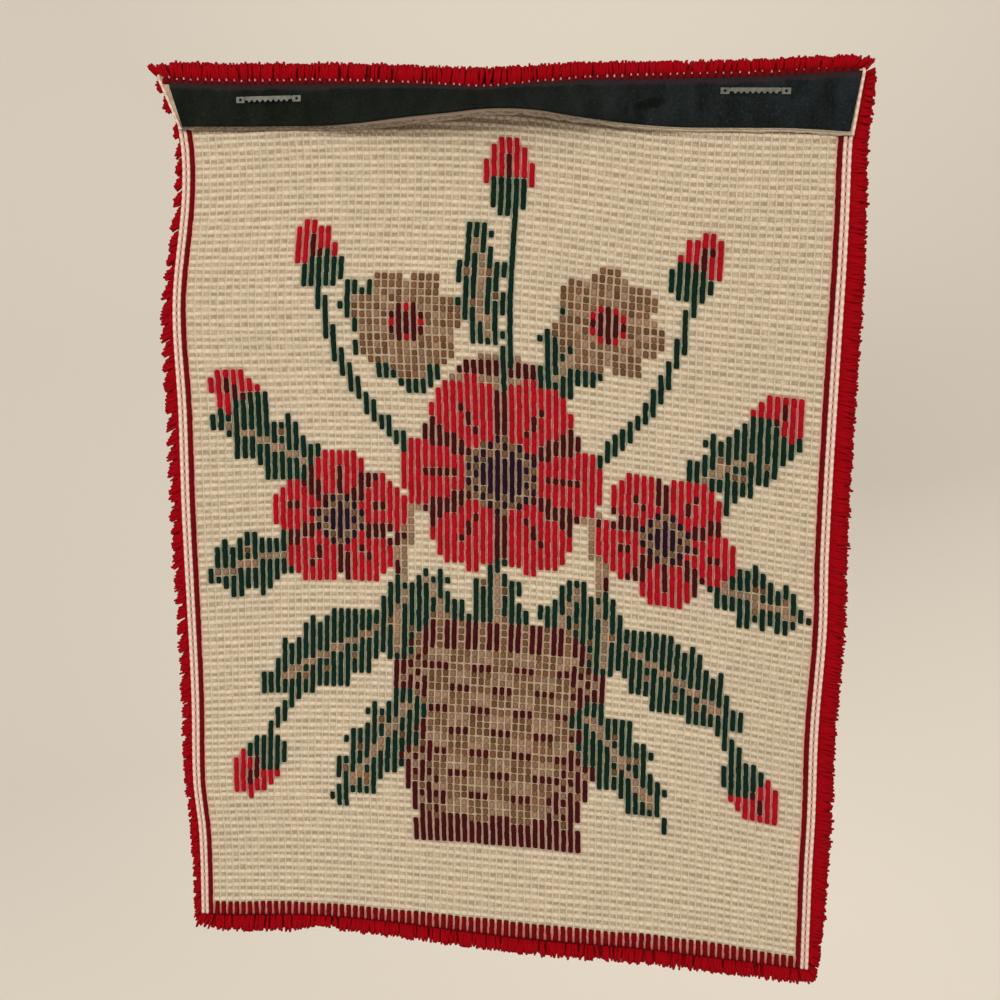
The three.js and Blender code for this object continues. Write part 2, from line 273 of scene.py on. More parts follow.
# Rows of the mesh: their height at five places across, by share of the way down to the red border
mesh = {"rows": 109, "redRows": 2, "columns": 86, "pitch": 7.7, "firstRow": -9, "firstLoops": -2,
        "bareColumns": (17, 56), "wave": 0.32, "waves": [(4.7, 1.9), (1.7, -2.7)], "firstGuess": (-320, 333)}
rowPlaces = [-319, -166, 8, 183, 336]
rowLines = rowsOf(
    "share z", (-0.08, [30, 36, 33.5, 12, 5]), (0, [-37, -31, -33.5, -55, -62]),
    (0.2, [-202.4, -197.3, -201.3, -221.5, -235.4]), (0.4, [-372.8, -365.7, -368.2, -385, -403.5]),
    (0.6, [-542.5, -534.3, -535.8, -547.9, -567.7]), (0.8, [-713, -703.7, -704.2, -711.6, -730.5]),
    (1, [-886, -875, -873, -879.5, -897]), (1.02, [-902, -890.5, -889.5, -896.5, -913]))
settleSteps = 6


# A smooth line through values at keys; values may differ for each place asked for
def smoothLine(keys, values, at):
    keys, at = np.asarray(keys, float), np.asarray(at, float)
    flat = at.ravel()
    values = np.asarray(values, float).reshape(len(keys), -1)
    values = np.broadcast_to(values, (len(keys), flat.size))
    if keys[0] > keys[-1]:
        keys, values = keys[::-1], values[::-1]
    last = len(keys) - 1
    after = np.minimum(np.arange(last + 1) + 1, last)
    before = np.maximum(np.arange(last + 1) - 1, 0)
    slopes = (values[after] - values[before]) / (keys[after] - keys[before])[:, None]
    i = np.clip(np.searchsorted(keys, flat, side="right") - 1, 0, last - 1)
    each = np.arange(flat.size)
    span = keys[i + 1] - keys[i]
    t = np.clip((flat - keys[i]) / span, 0, 1)
    p, q = values[i, each], values[i + 1, each]
    m, n = slopes[i, each] * span, slopes[i + 1, each] * span
    return (p + m * t + (3 * (q - p) - 2 * m - n) * t ** 2 + (2 * (p - q) + m + n) * t ** 3).reshape(at.shape)


def follow(rows, along, name, at):
    return smoothLine([row[along] for row in rows], [row[name] for row in rows], at)


def blend(first, second, share):
    return first + (second - first) * share


def unit(vectors):
    return vectors / np.linalg.norm(vectors, axis=-1, keepdims=True)


def rise(x, z):
    total = sum(s["rise"] * np.exp(-((x - s["x"]) / s["wide"]) ** 2 - ((z - s["z"]) / s["high"]) ** 2)
                for s in swellings)
    return total * (1 - np.exp(-(z / calmBelowFold) ** 2)) * (z < 0)


# A place on the middle of the panel, by share across and share down from the fold
def panelPlace(across, down):
    across, down = np.broadcast_arrays(np.asarray(across, float), np.asarray(down, float))
    x = blend(*canvas["firstGuess"], across)
    for step in range(settleSteps):
        z = blend(follow(topFold, "x", "z", x), follow(bottomEdge, "x", "z", x), down)
        x = blend(follow(sideEdges, "z", "left", z), follow(sideEdges, "z", "right", z), across)
    return np.stack([x, canvas["panelY"] - np.where(down > 0, rise(x, z), 0), z], -1)


# A place on the middle of the panel, by column and row of the mesh
def meshPlace(column, row):
    column, row = np.broadcast_arrays(np.asarray(column, float), np.asarray(row, float))
    across, share = column / (mesh["columns"] - 1), row / (mesh["rows"] - 0.5)
    keys = [line["share"] for line in rowLines]
    heights = [smoothLine(keys, z, share).ravel() for z in zip(*[line["z"] for line in rowLines])]
    x = blend(*mesh["firstGuess"], across)
    for step in range(settleSteps):
        z = smoothLine(rowPlaces, heights, x)
        left = follow(sideEdges, "z", "left", z) + canvas["edgeInset"]
        right = follow(sideEdges, "z", "right", z) - canvas["edgeInset"]
        x = blend(left, right, across)
    z = z + mesh["wave"] * sum(np.sin(column / long + row * skew) for long, skew in mesh["waves"])
    return np.stack([x, canvas["panelY"] - rise(x, z), z], -1)


# Directions of the mesh at a knot: along a row, up a column and towards the viewer, for one millimetre each
def meshFrames(column, row):
    at = meshPlace(column, row)
    right = (meshPlace(column + 0.5, row) - meshPlace(column - 0.5, row)) / mesh["pitch"]
    rising = (meshPlace(column, row - 0.5) - meshPlace(column, row + 0.5)) / mesh["pitch"]
    out = -unit(np.cross(rising, right))
    return at, right, rising, np.where(out[..., 1:2] > 0, -out, out)


# The hem in front of the panel: where it leaves the fold, its even end, its tilt and its true free edge
def hemSection(across):
    across = np.asarray(across, float)
    x = blend(hemEnds["topLeft"], hemEnds["topRight"], across)
    top = follow(topFold, "x", "z", x)
    deep = follow(hemShape, "x", "deep", x)
    tilt = np.arcsin(np.maximum(follow(hemShape, "x", "out", x), 0) / deep)
    r, long = hem["foldRadius"], deep - hem["foldRadius"]
    start = np.stack([x, -r * np.cos(tilt), top - r + r * np.sin(tilt)], -1)
    freeX = blend(hemEnds["freeLeft"], hemEnds["freeRight"], across)
    end = np.stack([freeX, start[..., 1] - long * np.sin(tilt), start[..., 2] - long * np.cos(tilt)], -1)
    more = np.interp(x, *zip(*hem["lower"])) / long
    out = np.stack([0 * tilt, -np.cos(tilt), np.sin(tilt)], -1)
    return {"x": x, "top": top, "tilt": tilt, "start": start, "end": end, "out": out, "long": long,
            "edge": blend(start, end, 1 + more[..., None])}


# A place on the hem's front so far above the band's upper edge, going over the fold, with its directions
def foldPlace(share, above):
    section = hemSection(share)
    past = above - follow(hemShape, "x", "seam", section["x"])
    angle = np.pi - section["tilt"] - np.maximum(past, 0) / hem["foldRadius"]
    out = np.stack([0 * angle, np.cos(angle), np.sin(angle)], -1)
    rising = np.stack([0 * angle, np.sin(angle), -np.cos(angle)], -1)
    centre = np.stack([section["x"], 0 * angle, section["top"] - hem["foldRadius"]], -1)
    place = centre + out * (hem["foldRadius"] + hem["thickness"] / 2) + rising * np.minimum(past, 0)[:, None]
    return place, rising, out


# Mesh building from arrays

# A mesh object from points in millimetres and faces grouped by their number of corners: run is each point's
# place along and across the surface, tone its shade, and paint its colour
def meshFrom(name, points, faces, run, tone=None, paint=None):
    data = bpy.data.meshes.new(name)
    data.vertices.add(len(points))
    data.vertices.foreach_set("co", (points * mm).astype(np.float32).ravel())
    corners = np.concatenate([part.ravel() for part in faces]).astype(np.int32)
    sizes = np.concatenate([np.full(len(part), part.shape[1]) for part in faces])
    data.loops.add(len(corners))
    data.loops.foreach_set("vertex_index", corners)
    data.polygons.add(len(sizes))
    data.polygons.foreach_set("loop_start", (np.cumsum(sizes) - sizes).astype(np.int32))
    data.polygons.foreach_set("use_smooth", np.ones(len(sizes), bool))
    data.update(calc_edges=True)
    data.validate()
    layer = data.uv_layers.new(name="run")
    layer.data.foreach_set("uv", run[corners].astype(np.float32).ravel())
    if tone is not None:
        layer = data.attributes.new("tone", "FLOAT", "POINT")
        layer.data.foreach_set("value", tone.astype(np.float32))
    if paint is not None:
        layer = data.attributes.new("paint", "FLOAT_COLOR", "POINT")
        layer.data.foreach_set("color", paint.astype(np.float32).ravel())
    piece = bpy.data.objects.new(name, data)
    bpy.context.scene.collection.objects.link(piece)
    return piece


def turnOutwards(piece):
    bpy.ops.object.select_all(action="DESELECT")
    piece.select_set(True)
    bpy.context.view_layer.objects.active = piece
    bpy.ops.object.mode_set(mode="EDIT")
    bpy.ops.mesh.select_all(action="SELECT")
    bpy.ops.mesh.normals_make_consistent(inside=False)
    bpy.ops.object.mode_set(mode="OBJECT")


# A closed shell between two matching grids of points, the second on the outer side
def shellBetween(name, inner, outer, run):
    rows, wide = inner.shape[:2]
    index = np.arange(rows * wide).reshape(rows, wide)
    other = index + rows * wide
    def quads(a, b, c, d):
        return np.stack([part.ravel() for part in (a, b, c, d)], -1)
    faces = [
        quads(index[:-1, :-1], index[:-1, 1:], index[1:, 1:], index[1:, :-1]),
        quads(other[:-1, :-1], other[1:, :-1], other[1:, 1:], other[:-1, 1:]),
        quads(index[0, :-1], other[0, :-1], other[0, 1:], index[0, 1:]),
        quads(index[-1, :-1], index[-1, 1:], other[-1, 1:], other[-1, :-1]),
        quads(index[:-1, 0], index[1:, 0], other[1:, 0], other[:-1, 0]),
        quads(index[:-1, -1], other[:-1, -1], other[1:, -1], index[1:, -1]),
    ]
    points = np.concatenate([inner.reshape(-1, 3), outer.reshape(-1, 3)])
    piece = meshFrom(name, points, faces, np.concatenate([run.reshape(-1, 2)] * 2))
    turnOutwards(piece)
    return piece


# Takes the shape of a finished object as arrays in millimetres and removes the object
def takeShape(piece):
    data = piece.data
    points = np.array([v.co for v in data.vertices]) / mm
    faces = [np.array([list(f.vertices) for f in data.polygons if len(f.vertices) == n]) for n in (3, 4, 5)]
    bpy.data.objects.remove(piece)
    return {"points": points, "faces": [part for part in faces if len(part)]}


# Copies of one shape, joined: each copy has its place, three directions and a tone
def placeCopies(name, shape, at, right, rising, out, tone, runAxes=(0, 1)):
    points, count = shape["points"], len(at)
    placed = at[:, None, :]
    for axis, way in enumerate((right, rising, out)):
        placed = placed + points[None, :, axis:axis + 1] * way[:, None, :]
    step = np.arange(count)[:, None, None] * len(points)
    faces = [(part[None] + step).reshape(-1, part.shape[1]) for part in shape["faces"]]
    shift = np.repeat(luck.uniform(0, 40, (count, 1)), len(points), 0) * [1, 0]
    run = np.tile(points[:, list(runAxes)], (count, 1)) + shift
    return meshFrom(name, placed.reshape(-1, 3), faces, run, np.repeat(tone, len(points)))


# Tubes along lines of points, closed at both ends: lines[line, station] and the ring's sizes there
def tubesAlong(name, lines, side, out, corners, wide, high, tone, paint=None):
    count, stations = lines.shape[:2]
    angles = np.arange(corners) / corners * 2 * np.pi + np.pi / 2
    reachSide, reachOut = wide[..., None] * np.cos(angles), high[..., None] * np.sin(angles)
    points = lines[:, :, None, :] + side[:, :, None, :] * reachSide[..., None]
    points = points + out[:, :, None, :] * reachOut[..., None]
    index = np.arange(count * stations * corners).reshape(count, stations, corners)
    following = np.roll(index, -1, axis=2)
    walls = np.stack([index[:, :-1], following[:, :-1], following[:, 1:], index[:, 1:]], -1).reshape(-1, 4)
    caps = np.concatenate([index[:, 0, ::-1], index[:, -1, :]])
    around = np.broadcast_to(np.arange(corners) * 1.0, index.shape)
    down = np.broadcast_to(np.arange(stations)[None, :, None] * 1.0, index.shape)
    run = np.stack([around, down], -1).reshape(-1, 2)
    tones = np.broadcast_to(tone[:, :, None], index.shape).ravel()
    if paint is not None:
        paint = np.broadcast_to(paint[:, :, None, :], (*index.shape, 4)).reshape(-1, 4)
    piece = meshFrom(name, points.reshape(-1, 3), [walls, caps], run, tones, paint)
    turnOutwards(piece)
    return piece


# Shapes that are copied: three stitches, a strand of pile and a tuft end of the border

stitches = {
    "ridge": {"width": 7.8, "length": 5.4, "height": 2.0, "sink": 0.6, "ends": 0.84},
    "bar": {"width": 5.7, "length": 8.6, "height": 2.2, "sink": 0.5, "shoulder": 0.82},
    "cell": {"width": 6.0, "length": 7.3, "height": 2.0, "sink": 0.5, "shoulder": 0.82},
}
# What stitches share: the part that is flattened, how its foot spreads, and the shoulders of a bar
stitchModel = {"flatBelow": -0.3, "foot": 1.5, "end": 0.9, "ring": 0.707, "shoulderWide": 1.32,
               "shoulderHigh": 1.3}
strands = {
    "pile": {"corners": 3, "bend": 0.3, "rings": [(0, 1.5), (0.6, 3.1), (1, 2.7)]},
    "tuft": {"corners": 4, "bend": 1.2, "rings": [(0, 1.5), (0.6, 1.95), (1, 1.25)]},
}


# The lone corner of a five-sided loop becomes its crown
def crownUp(loop):
    heights = [vertex.co.z for vertex in loop.data.vertices]
    side = 1 if max(heights) > -min(heights) else -1
    for vertex in loop.data.vertices:
        vertex.co.z *= side


# The flat underside of a loop, its size, and how deep it sinks into the mesh
def settleLoop(loop, size):
    selectOnly("VERT", lambda p: p.co.z < stitchModel["flatBelow"] * mm)
    spread = (1, stitchModel["foot"], 0) if "ends" in size else (stitchModel["foot"], 1, 0)
    bpy.ops.transform.resize(value=spread, center_override=(0, 0, 0))
    bpy.ops.mesh.select_all(action="SELECT")
    bpy.ops.transform.resize(value=(size["width"] / 2, size["length"] / 2, size["height"] + size["sink"]),
                             center_override=(0, 0, 0))
    bpy.ops.transform.translate(value=(0, 0, -size["sink"] * mm))
    bpy.ops.mesh.normals_make_consistent(inside=False)
    bpy.ops.object.mode_set(mode="OBJECT")
    return takeShape(loop)


# Cream yarn lies over its weft as a short ridge: local X across, Y along the column, Z towards the viewer
def modelRidge(size):
    bpy.ops.object.select_all(action="DESELECT")
    bpy.ops.mesh.primitive_cylinder_add(vertices=5, radius=mm, depth=2 * mm)
    loop = bpy.context.object
    bpy.ops.object.mode_set(mode="EDIT")
    bpy.ops.transform.rotate(value=radians(90), orient_axis="X", center_override=(0, 0, 0))
    bpy.ops.transform.rotate(value=radians(90), orient_axis="Z", center_override=(0, 0, 0))
    bpy.ops.object.mode_set(mode="OBJECT")
    crownUp(loop)
    def crosswise(edge):
        first, second = [loop.data.vertices[v].co.x for v in edge.vertices]
        return abs(first - second) > mm
    selectOnly("EDGE", crosswise)
    bpy.ops.mesh.subdivide(number_cuts=1)
    selectOnly("VERT", lambda p: abs(p.co.x) > stitchModel["end"] * mm)
    bpy.ops.transform.resize(value=(1, size["ends"], size["ends"]), center_override=(0, 0, 0))
    return settleLoop(loop, size)


# Dark yarn is pulled longer, so that stitches below each other join as a bar
def modelBar(size):
    bpy.ops.object.select_all(action="DESELECT")
    bpy.ops.mesh.primitive_uv_sphere_add(segments=5, ring_count=4, radius=mm)
    loop = bpy.context.object
    bpy.ops.object.mode_set(mode="EDIT")
    bpy.ops.transform.rotate(value=radians(90), orient_axis="X", center_override=(0, 0, 0))
    bpy.ops.object.mode_set(mode="OBJECT")
    crownUp(loop)
    selectOnly("VERT", lambda p: 0.1 * mm < abs(p.co.y) < stitchModel["end"] * mm)
    shoulder = size["shoulder"] / stitchModel["ring"]
    bpy.ops.transform.resize(value=(stitchModel["shoulderWide"], shoulder, stitchModel["shoulderHigh"]),
                             center_override=(0, 0, 0))
    return settleLoop(loop, size)


# A cut end of yarn, one unit long up Z, built ring by ring with a slight bend
def modelStrand(size):
    bpy.ops.object.select_all(action="DESELECT")
    height, wide = size["rings"][0]
    bpy.ops.mesh.primitive_circle_add(vertices=size["corners"], radius=wide * mm, fill_type="NGON")
    end = bpy.context.object
    bpy.ops.object.mode_set(mode="EDIT")
    bpy.ops.mesh.select_all(action="SELECT")
    for share, goal in size["rings"][1:]:
        bpy.ops.mesh.extrude_region_move(TRANSFORM_OT_translate={"value": (0, 0, (share - height) * mm)})
        bpy.ops.transform.resize(value=(goal / wide, goal / wide, 1))
        bpy.ops.transform.translate(value=(size["bend"] * (share ** 2 - height ** 2) * mm, 0, 0))
        height, wide = share, goal
    bpy.ops.mesh.select_all(action="SELECT")
    bpy.ops.mesh.normals_make_consistent(inside=False)
    bpy.ops.object.mode_set(mode="OBJECT")
    return takeShape(end)


models = {"ridge": modelRidge, "bar": modelBar, "cell": modelBar, "pile": modelStrand, "tuft": modelStrand}
shapes = {name: model({**stitches, **strands}[name]) for name, model in models.items()}
print("stitches and strands are modelled", {n: len(s["points"]) for n, s in shapes.items()})


# The worked design, charted knot by knot on the mesh

yarnNames = ["cream", "red", "green", "tan", "taupe", "maroon", "plum", "edge"]
basket = {"x": 42.5, "rim": 70, "foot": 97, "wideRim": 14.5, "wideFoot": 10.5, "bulge": 2.2, "handle": 37,
          "brick": 3, "shade": 5, "outline": 1.2, "rimOver": 1.6, "footOver": 1.4, "rimHalf": 0.06,
          "footHalf": 0.05, "handleHalf": 0.075}
stemHalf = {"across": 0.55, "down": 0.75, "steps": 90}
leafShape = {"belly": 0.8, "fullness": 0.75, "teeth": 0.55, "toothPace": 1.35, "vein": 0.52,
             "veinFrom": 0.1, "veinTo": 0.84, "ribFrom": 0.25, "ribTo": 0.75, "ribAway": 1.6, "ribHalf": 0.5,
             "ribEvery": 4.2, "ribWide": 0.9}
flowerShape = {"dip": 0.26, "tip": 0.6, "seeds": 0.36, "eye": 0.2, "veinFrom": 0.4, "veinTo": 0.78,
               "vein": 0.985, "gapFrom": 0.34, "gap": 0.24}
budShape = {"long": 4.4, "wide": 3.1, "cup": 2.6, "cupWide": 3.0, "crease": 0.6}
stems = rowsOf(
    "from to bow", ((42, 40), (43, 8), 1.5), ((30, 44), (18, 20), -3), ((55, 44), (68, 18), 3),
    ((22, 56), (7, 38), -2), ((63, 56), (79, 36), 2), ((27, 70), (8, 88), 3), ((58, 70), (78, 86), -3))
# Leaves by their stalk end, length, width and direction in degrees, 0 to the right and 90 up
backLeaves = rowsOf("x y long wide turn", (42, 73, 15, 8, 91), (37, 72, 14, 6, 116), (48, 72, 14, 6, 62))
leaves = rowsOf(
    "x y long wide turn", (33, 36, 19, 9, 128), (49, 35, 18, 9, 58), (41, 30, 17, 7, 97),
    (17, 47, 16, 8, 152), (68, 45, 17, 8, 32), (14, 58, 14, 8, 196), (71, 58, 14, 8, -14),
    (27, 68, 21, 10, 208), (58, 68, 21, 10, -28))
# These hang over the rim of the basket
rimLeaves = rowsOf("x y long wide turn", (29, 62, 12, 7, 262), (56, 62, 12, 7, -82), (31, 78, 20, 8, 235),
                   (54, 78, 20, 8, -52))
# Yarns of a flower: its petals, their shade, its heart and its seeds
daisy, poppy = ("tan", "taupe", "maroon", "red"), ("red", "maroon", "plum", "tan")
flowers = rowsOf(
    "x y wide petals turn yarns", (30, 27, 7.4, 7, 12, daisy), (57, 25, 7.4, 7, 40, daisy),
    (20, 54, 9.6, 5, 20, poppy), (65, 53, 9.6, 5, 56, poppy), (42.5, 47, 14.2, 6, 0, poppy))
buds = rowsOf(
    "x y turn", (43, 7, 90), (17.5, 18, 112), (68.5, 16, 66), (6.5, 37, 130), (79, 35, 50), (8, 89, 235),
    (78, 87, -50))
chart = np.zeros((mesh["rows"], mesh["columns"]), int)
columnOf, rowOf = np.meshgrid(np.arange(mesh["columns"]), np.arange(mesh["rows"]))


def work(mask, yarn):
    chart[mask] = yarnNames.index(yarn)


# Distance along and across a direction from a motif's own point
def turned(motif):
    turn = radians(motif["turn"])
    right, high = columnOf - motif["x"], motif["y"] - rowOf
    return right * np.cos(turn) + high * np.sin(turn), high * np.cos(turn) - right * np.sin(turn)


def workStem(stem):
    start, end = np.array(stem["from"], float), np.array(stem["to"], float)
    side = np.array([start[1] - end[1], end[0] - start[0]]) / np.linalg.norm(end - start)
    for share in np.linspace(0, 1, stemHalf["steps"]):
        x, y = blend(start, end, share) + side * stem["bow"] * 4 * share * (1 - share)
        work((np.abs(columnOf - x) < stemHalf["across"]) & (np.abs(rowOf - y) < stemHalf["down"]), "green")


def workLeaf(leaf):
    along, off = turned(leaf)
    style, share = leafShape, np.clip(along / leaf["long"], 0, 1)
    inside = (share > 0) & (share < 1)
    half = leaf["wide"] / 2 * np.sin(np.pi * share ** style["belly"]) ** style["fullness"]
    half = half + style["teeth"] * np.sign(np.sin(along * style["toothPace"]))
    work(inside & (np.abs(off) < half), "green")
    vein = (share > style["veinFrom"]) & (share < style["veinTo"]) & (np.abs(off) < style["vein"])
    work(inside & vein, "taupe")
    ribs = (share > style["ribFrom"]) & (share < style["ribTo"])
    ribs = ribs & (np.abs(np.abs(off) - style["ribAway"]) < style["ribHalf"]) & (np.abs(off) < half - 1)
    work(ribs & (np.mod(along - np.abs(off), style["ribEvery"]) < style["ribWide"]), "tan")


def workFlower(flower):
    along, off = turned(flower)
    style, (main, shade, heart, seed) = flowerShape, flower["yarns"]
    far = np.hypot(along, off) / flower["wide"]
    petal = np.abs(np.cos(np.arctan2(off, along) * flower["petals"] / 2))
    edge = 1 - style["dip"] + style["dip"] * petal ** style["tip"]
    gaps = (petal < style["gap"] + 0.1 / np.maximum(far, 0.2)) & (far < edge) & (far > style["gapFrom"])
    veins = (petal > style["vein"]) & (far < edge * style["veinTo"]) & (far > style["veinFrom"])
    work(far < edge, main)
    work(gaps | veins, shade)
    work(far < style["seeds"], seed)
    work((far < style["seeds"]) & ((columnOf + rowOf) % 2 == 0), heart)
    work(far < style["eye"], heart)


def workBud(bud):
    along, off = turned(bud)
    style, cup = budShape, budShape["cup"]
    work((along / style["long"]) ** 2 + (off / style["wide"]) ** 2 < 1, "red")
    work(((along + cup) / cup) ** 2 + (off / style["cupWide"]) ** 2 < 1, "green")
    work((np.abs(off) < style["crease"]) & (along > -1) & (along < cup), "maroon")


def workBasket():
    side, size = np.abs(columnOf - basket["x"]), basket["brick"]
    down = (rowOf - basket["rim"]) / (basket["foot"] - basket["rim"])
    half = blend(basket["wideRim"], basket["wideFoot"], down)
    half = half + basket["bulge"] * np.sin(np.pi * np.clip(down, 0, 1))
    body = (down >= 0) & (down <= 1) & (side < half)
    brick = (columnOf // size + rowOf // size) % 2 == 0
    shaded = (side > half - basket["shade"]) & ((columnOf + rowOf) % 2 == 0)
    joint = (rowOf % size == size - 1) & ~brick
    work(body, "taupe")
    work(body & brick, "tan")
    work(body & (joint | shaded | (side > half - basket["outline"])), "maroon")
    rim = (np.abs(down + 0.02) < basket["rimHalf"]) & (side < basket["wideRim"] + basket["rimOver"])
    work(rim, "maroon")
    work(rim & (columnOf % size == 1), "tan")
    foot = (np.abs(down - 1) < basket["footHalf"]) & (side < basket["wideFoot"] + basket["footOver"])
    work(foot, "maroon")


def workHandle():
    far = np.hypot((columnOf - basket["x"]) / basket["wideRim"], (rowOf - basket["rim"]) / basket["handle"])
    arch = (np.abs(far - 1) < basket["handleHalf"]) & (rowOf < basket["rim"])
    work(arch, "taupe")
    work(arch & ((rowOf // 2) % 2 == 0) & (far > 1), "maroon")


workHandle()
for stem in stems:
    workStem(stem)
for leaf in backLeaves + leaves + rimLeaves:
    workLeaf(leaf)
workBasket()
for leaf in rimLeaves:
    workLeaf(leaf)
for flower in flowers:
    workFlower(flower)
for bud in buds:
    workBud(bud)
chart[:, [0, -1]] = yarnNames.index("edge")
# Knots above and below the design: cream under the hem, the red border below
worked = np.pad(chart, ((-mesh["firstRow"], mesh["redRows"]), (0, 0)))
worked[-mesh["redRows"]:] = yarnNames.index("edge")
worked[:, [0, -1]] = yarnNames.index("edge")
print("chart is drawn", {n: int((worked == k).sum()) for k, n in enumerate(yarnNames)})


# Yarn: the crown of each loop, its sunk ends darkened as painted shade, the tips of the pile, and the warp
# that its fluff colours

yarns = dict(zip(yarnNames, rowsOf(
    "crown sunk pile warp spread stitch",
    ((226, 210, 184), (208, 190, 162), (224, 208, 178), (232, 215, 188), 0.06, "ridge"),
    ((172, 10, 28), (146, 4, 18), (160, 6, 20), (222, 92, 100), 0.14, "bar"),
    ((9, 38, 28), (5, 28, 20), (14, 58, 42), (122, 148, 126), 0.2, "bar"),
    ((116, 84, 60), (90, 62, 44), (140, 114, 84), (206, 172, 138), 0.32, "cell"),
    ((150, 120, 96), (124, 96, 76), (160, 136, 120), (214, 184, 152), 0.26, "cell"),
    ((66, 10, 14), (46, 5, 8), (74, 12, 16), (200, 148, 134), 0.2, "bar"),
    ((34, 14, 32), (20, 8, 18), (32, 12, 24), (166, 124, 122), 0.2, "bar"),
    ((112, 1, 10), (96, 0, 7), (146, 4, 16), (244, 112, 112), 0.12, "bar"))))
yarnWear = {"fibreScale": 1300, "ply": (2.3, 2.0), "bumpDepth": 0.3, "roughness": 0.86, "gloss": 0.12,
            "cloudScale": 9, "endShadeFrom": 0.6, "tone": (0.78, 0.3, 0.14)}


# Colour from crown to a darker end, painted shade where the loop sinks into the mesh, with fibres, a tone for
# each loop and slow clouds over the whole field
def loopFinish(name):
    yarn = yarns[name]
    finish = Finish("yarn" + name.capitalize())
    across, along = finish.run()
    ends = (abs(along) / (stitches[yarn["stitch"]]["length"] / 2) - yarnWear["endShadeFrom"]) * 2.5
    grain = finish.noise(yarnWear["fibreScale"], 3)
    cloud = finish.noise(yarnWear["cloudScale"], 2)
    # The ends of each loop take the darker colour: painted shade where the yarn dives into the holes
    sunk = (ends.fit() ** 1.6 + (grain - 0.5) * 0.6).fit()
    colour = finish.mix(sunk, tint(*yarn["crown"]), tint(*yarn["sunk"]))
    base, grainShare, cloudShare = yarnWear["tone"]
    colour = finish.shaded(colour, finish.tone() * (base + grainShare * grain + cloudShare * cloud))
    acrossTurns, alongTurns = yarnWear["ply"]
    ply = (across * acrossTurns + along * alongTurns).wave()
    return finish.wear(colour, yarnWear, ply * 0.5 + grain)


pileWear = {"grainScale": 900, "fray": 0.4, "fibreScale": 1500, "bumpDepth": 0.5, "roughness": 0.92,
            "gloss": 0.08}


# Strands darken from their tips to their roots: painted shade deep in the pile
def pileFinish(name, tip, root, contrast):
    finish = Finish(name)
    along = finish.run()[1]
    grain = finish.noise(pileWear["grainScale"], 3)
    share = (along + (grain - 0.5) * pileWear["fray"]).fit()
    colour = finish.mix(share, tint(*root), tint(*tip))
    colour = finish.shaded(colour, finish.tone() * (1 - contrast / 2 + contrast * grain))
    fibre = finish.noise(pileWear["fibreScale"], 2, (1, 0.4, 1))
    return finish.wear(colour, pileWear, fibre)


def finishPiece(piece, finish):
    piece.data.materials.append(finish.material)
    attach(piece, "root")
    return piece


# Whether the knots above or below are of the same yarn
def sameYarn(column, row, step):
    place = row - mesh["firstRow"]
    beside = np.clip(place + step, 0, len(worked) - 1)
    return (worked[beside, column] == worked[place, column])[:, None] * 1.0


# Knots of one yarn, from the given row of the padded chart on
def knotsOf(yarnName, firstRow):
    row, column = np.nonzero(worked == yarnNames.index(yarnName))
    row = row + mesh["firstRow"]
    return column[row >= firstRow], row[row >= firstRow]


# The knots of one yarn as the pieces they make: the cream ground is two, so that neither is too large
def groupsOf(kind, yarnName, column, row):
    name, upper = kind + yarnName.capitalize(), row < mesh["rows"] // 2
    if yarnName != "cream":
        return [(name, column, row)]
    return [(name + "Upper", column[upper], row[upper]), (name + "Lower", column[~upper], row[~upper])]


loopSpread = {"lean": 0.03, "high": 0.07, "wide": 0.03, "long": 0.05, "right": 0.12, "rising": 0.16,
              "join": 0.13}


# Loops on the viewer's side, a little uneven; those of a bar reach for the next of their own yarn
def makeLoops(name, column, row, yarnName, finish):
    at, right, rising, out = meshFrames(column, row)
    size, each = yarns[yarnName], (len(at), 1)
    lean = luck.normal(0, loopSpread["lean"], each)
    high, wide, long = [luck.normal(1, loopSpread[way], each) for way in ("high", "wide", "long")]
    if size["stitch"] == "bar":
        above, below = sameYarn(column, row, -1), sameYarn(column, row, 1)
        long = 1 + loopSpread["join"] * (above + below)
        at = at + rising * 0.5 * (above - below)
    at = at + right * luck.normal(0, loopSpread["right"], each)
    at = at + rising * luck.normal(0, loopSpread["rising"], each) + out * canvas["thickness"] / 2
    tone = 1 + luck.uniform(-1, 1, len(at)) * size["spread"]
    piece = placeCopies(name, shapes[size["stitch"]], at, (right + rising * lean) * wide,
                        (rising - right * lean) * long, out * high, tone)
    return finishPiece(piece, finish)


for yarnName in yarnNames:
    column, row = knotsOf(yarnName, mesh["firstLoops"])
    finish = loopFinish(yarnName)
    if yarnName == "cream":
        bare = (row < 0) & (column > mesh["bareColumns"][0]) & (column < mesh["bareColumns"][1])
        column, row = column[~bare], row[~bare]
    for name, columns, rows in groupsOf("loops", yarnName, column, row):
        makeLoops(name, columns, rows, yarnName, finish)


# The mesh canvas: a folded sheet, with its raised warp threads and its selvages

# The hole colour is painted shade in the holes between the loops
canvasColour = {"thread": (218, 200, 170), "holeShade": (180, 161, 133), "yarn": (112, 2, 12),
                "cutLeft": (150, 130, 110), "cutRight": (206, 188, 162), "cutBelow": 40,
                "cutChanges": (60, 120), "yarnMiddle": -1, "yarnReach": 343, "yarnRows": 12}
canvasWear = {"fibre": 1.35, "fibreShare": 0.2, "wefts": 4, "grainScale": 800, "grain": 1.2,
              "patchScale": 170, "patch": 3, "middle": 0.4, "roughness": 0.92, "gloss": 0.1,
              "bumpDepth": 0.25}
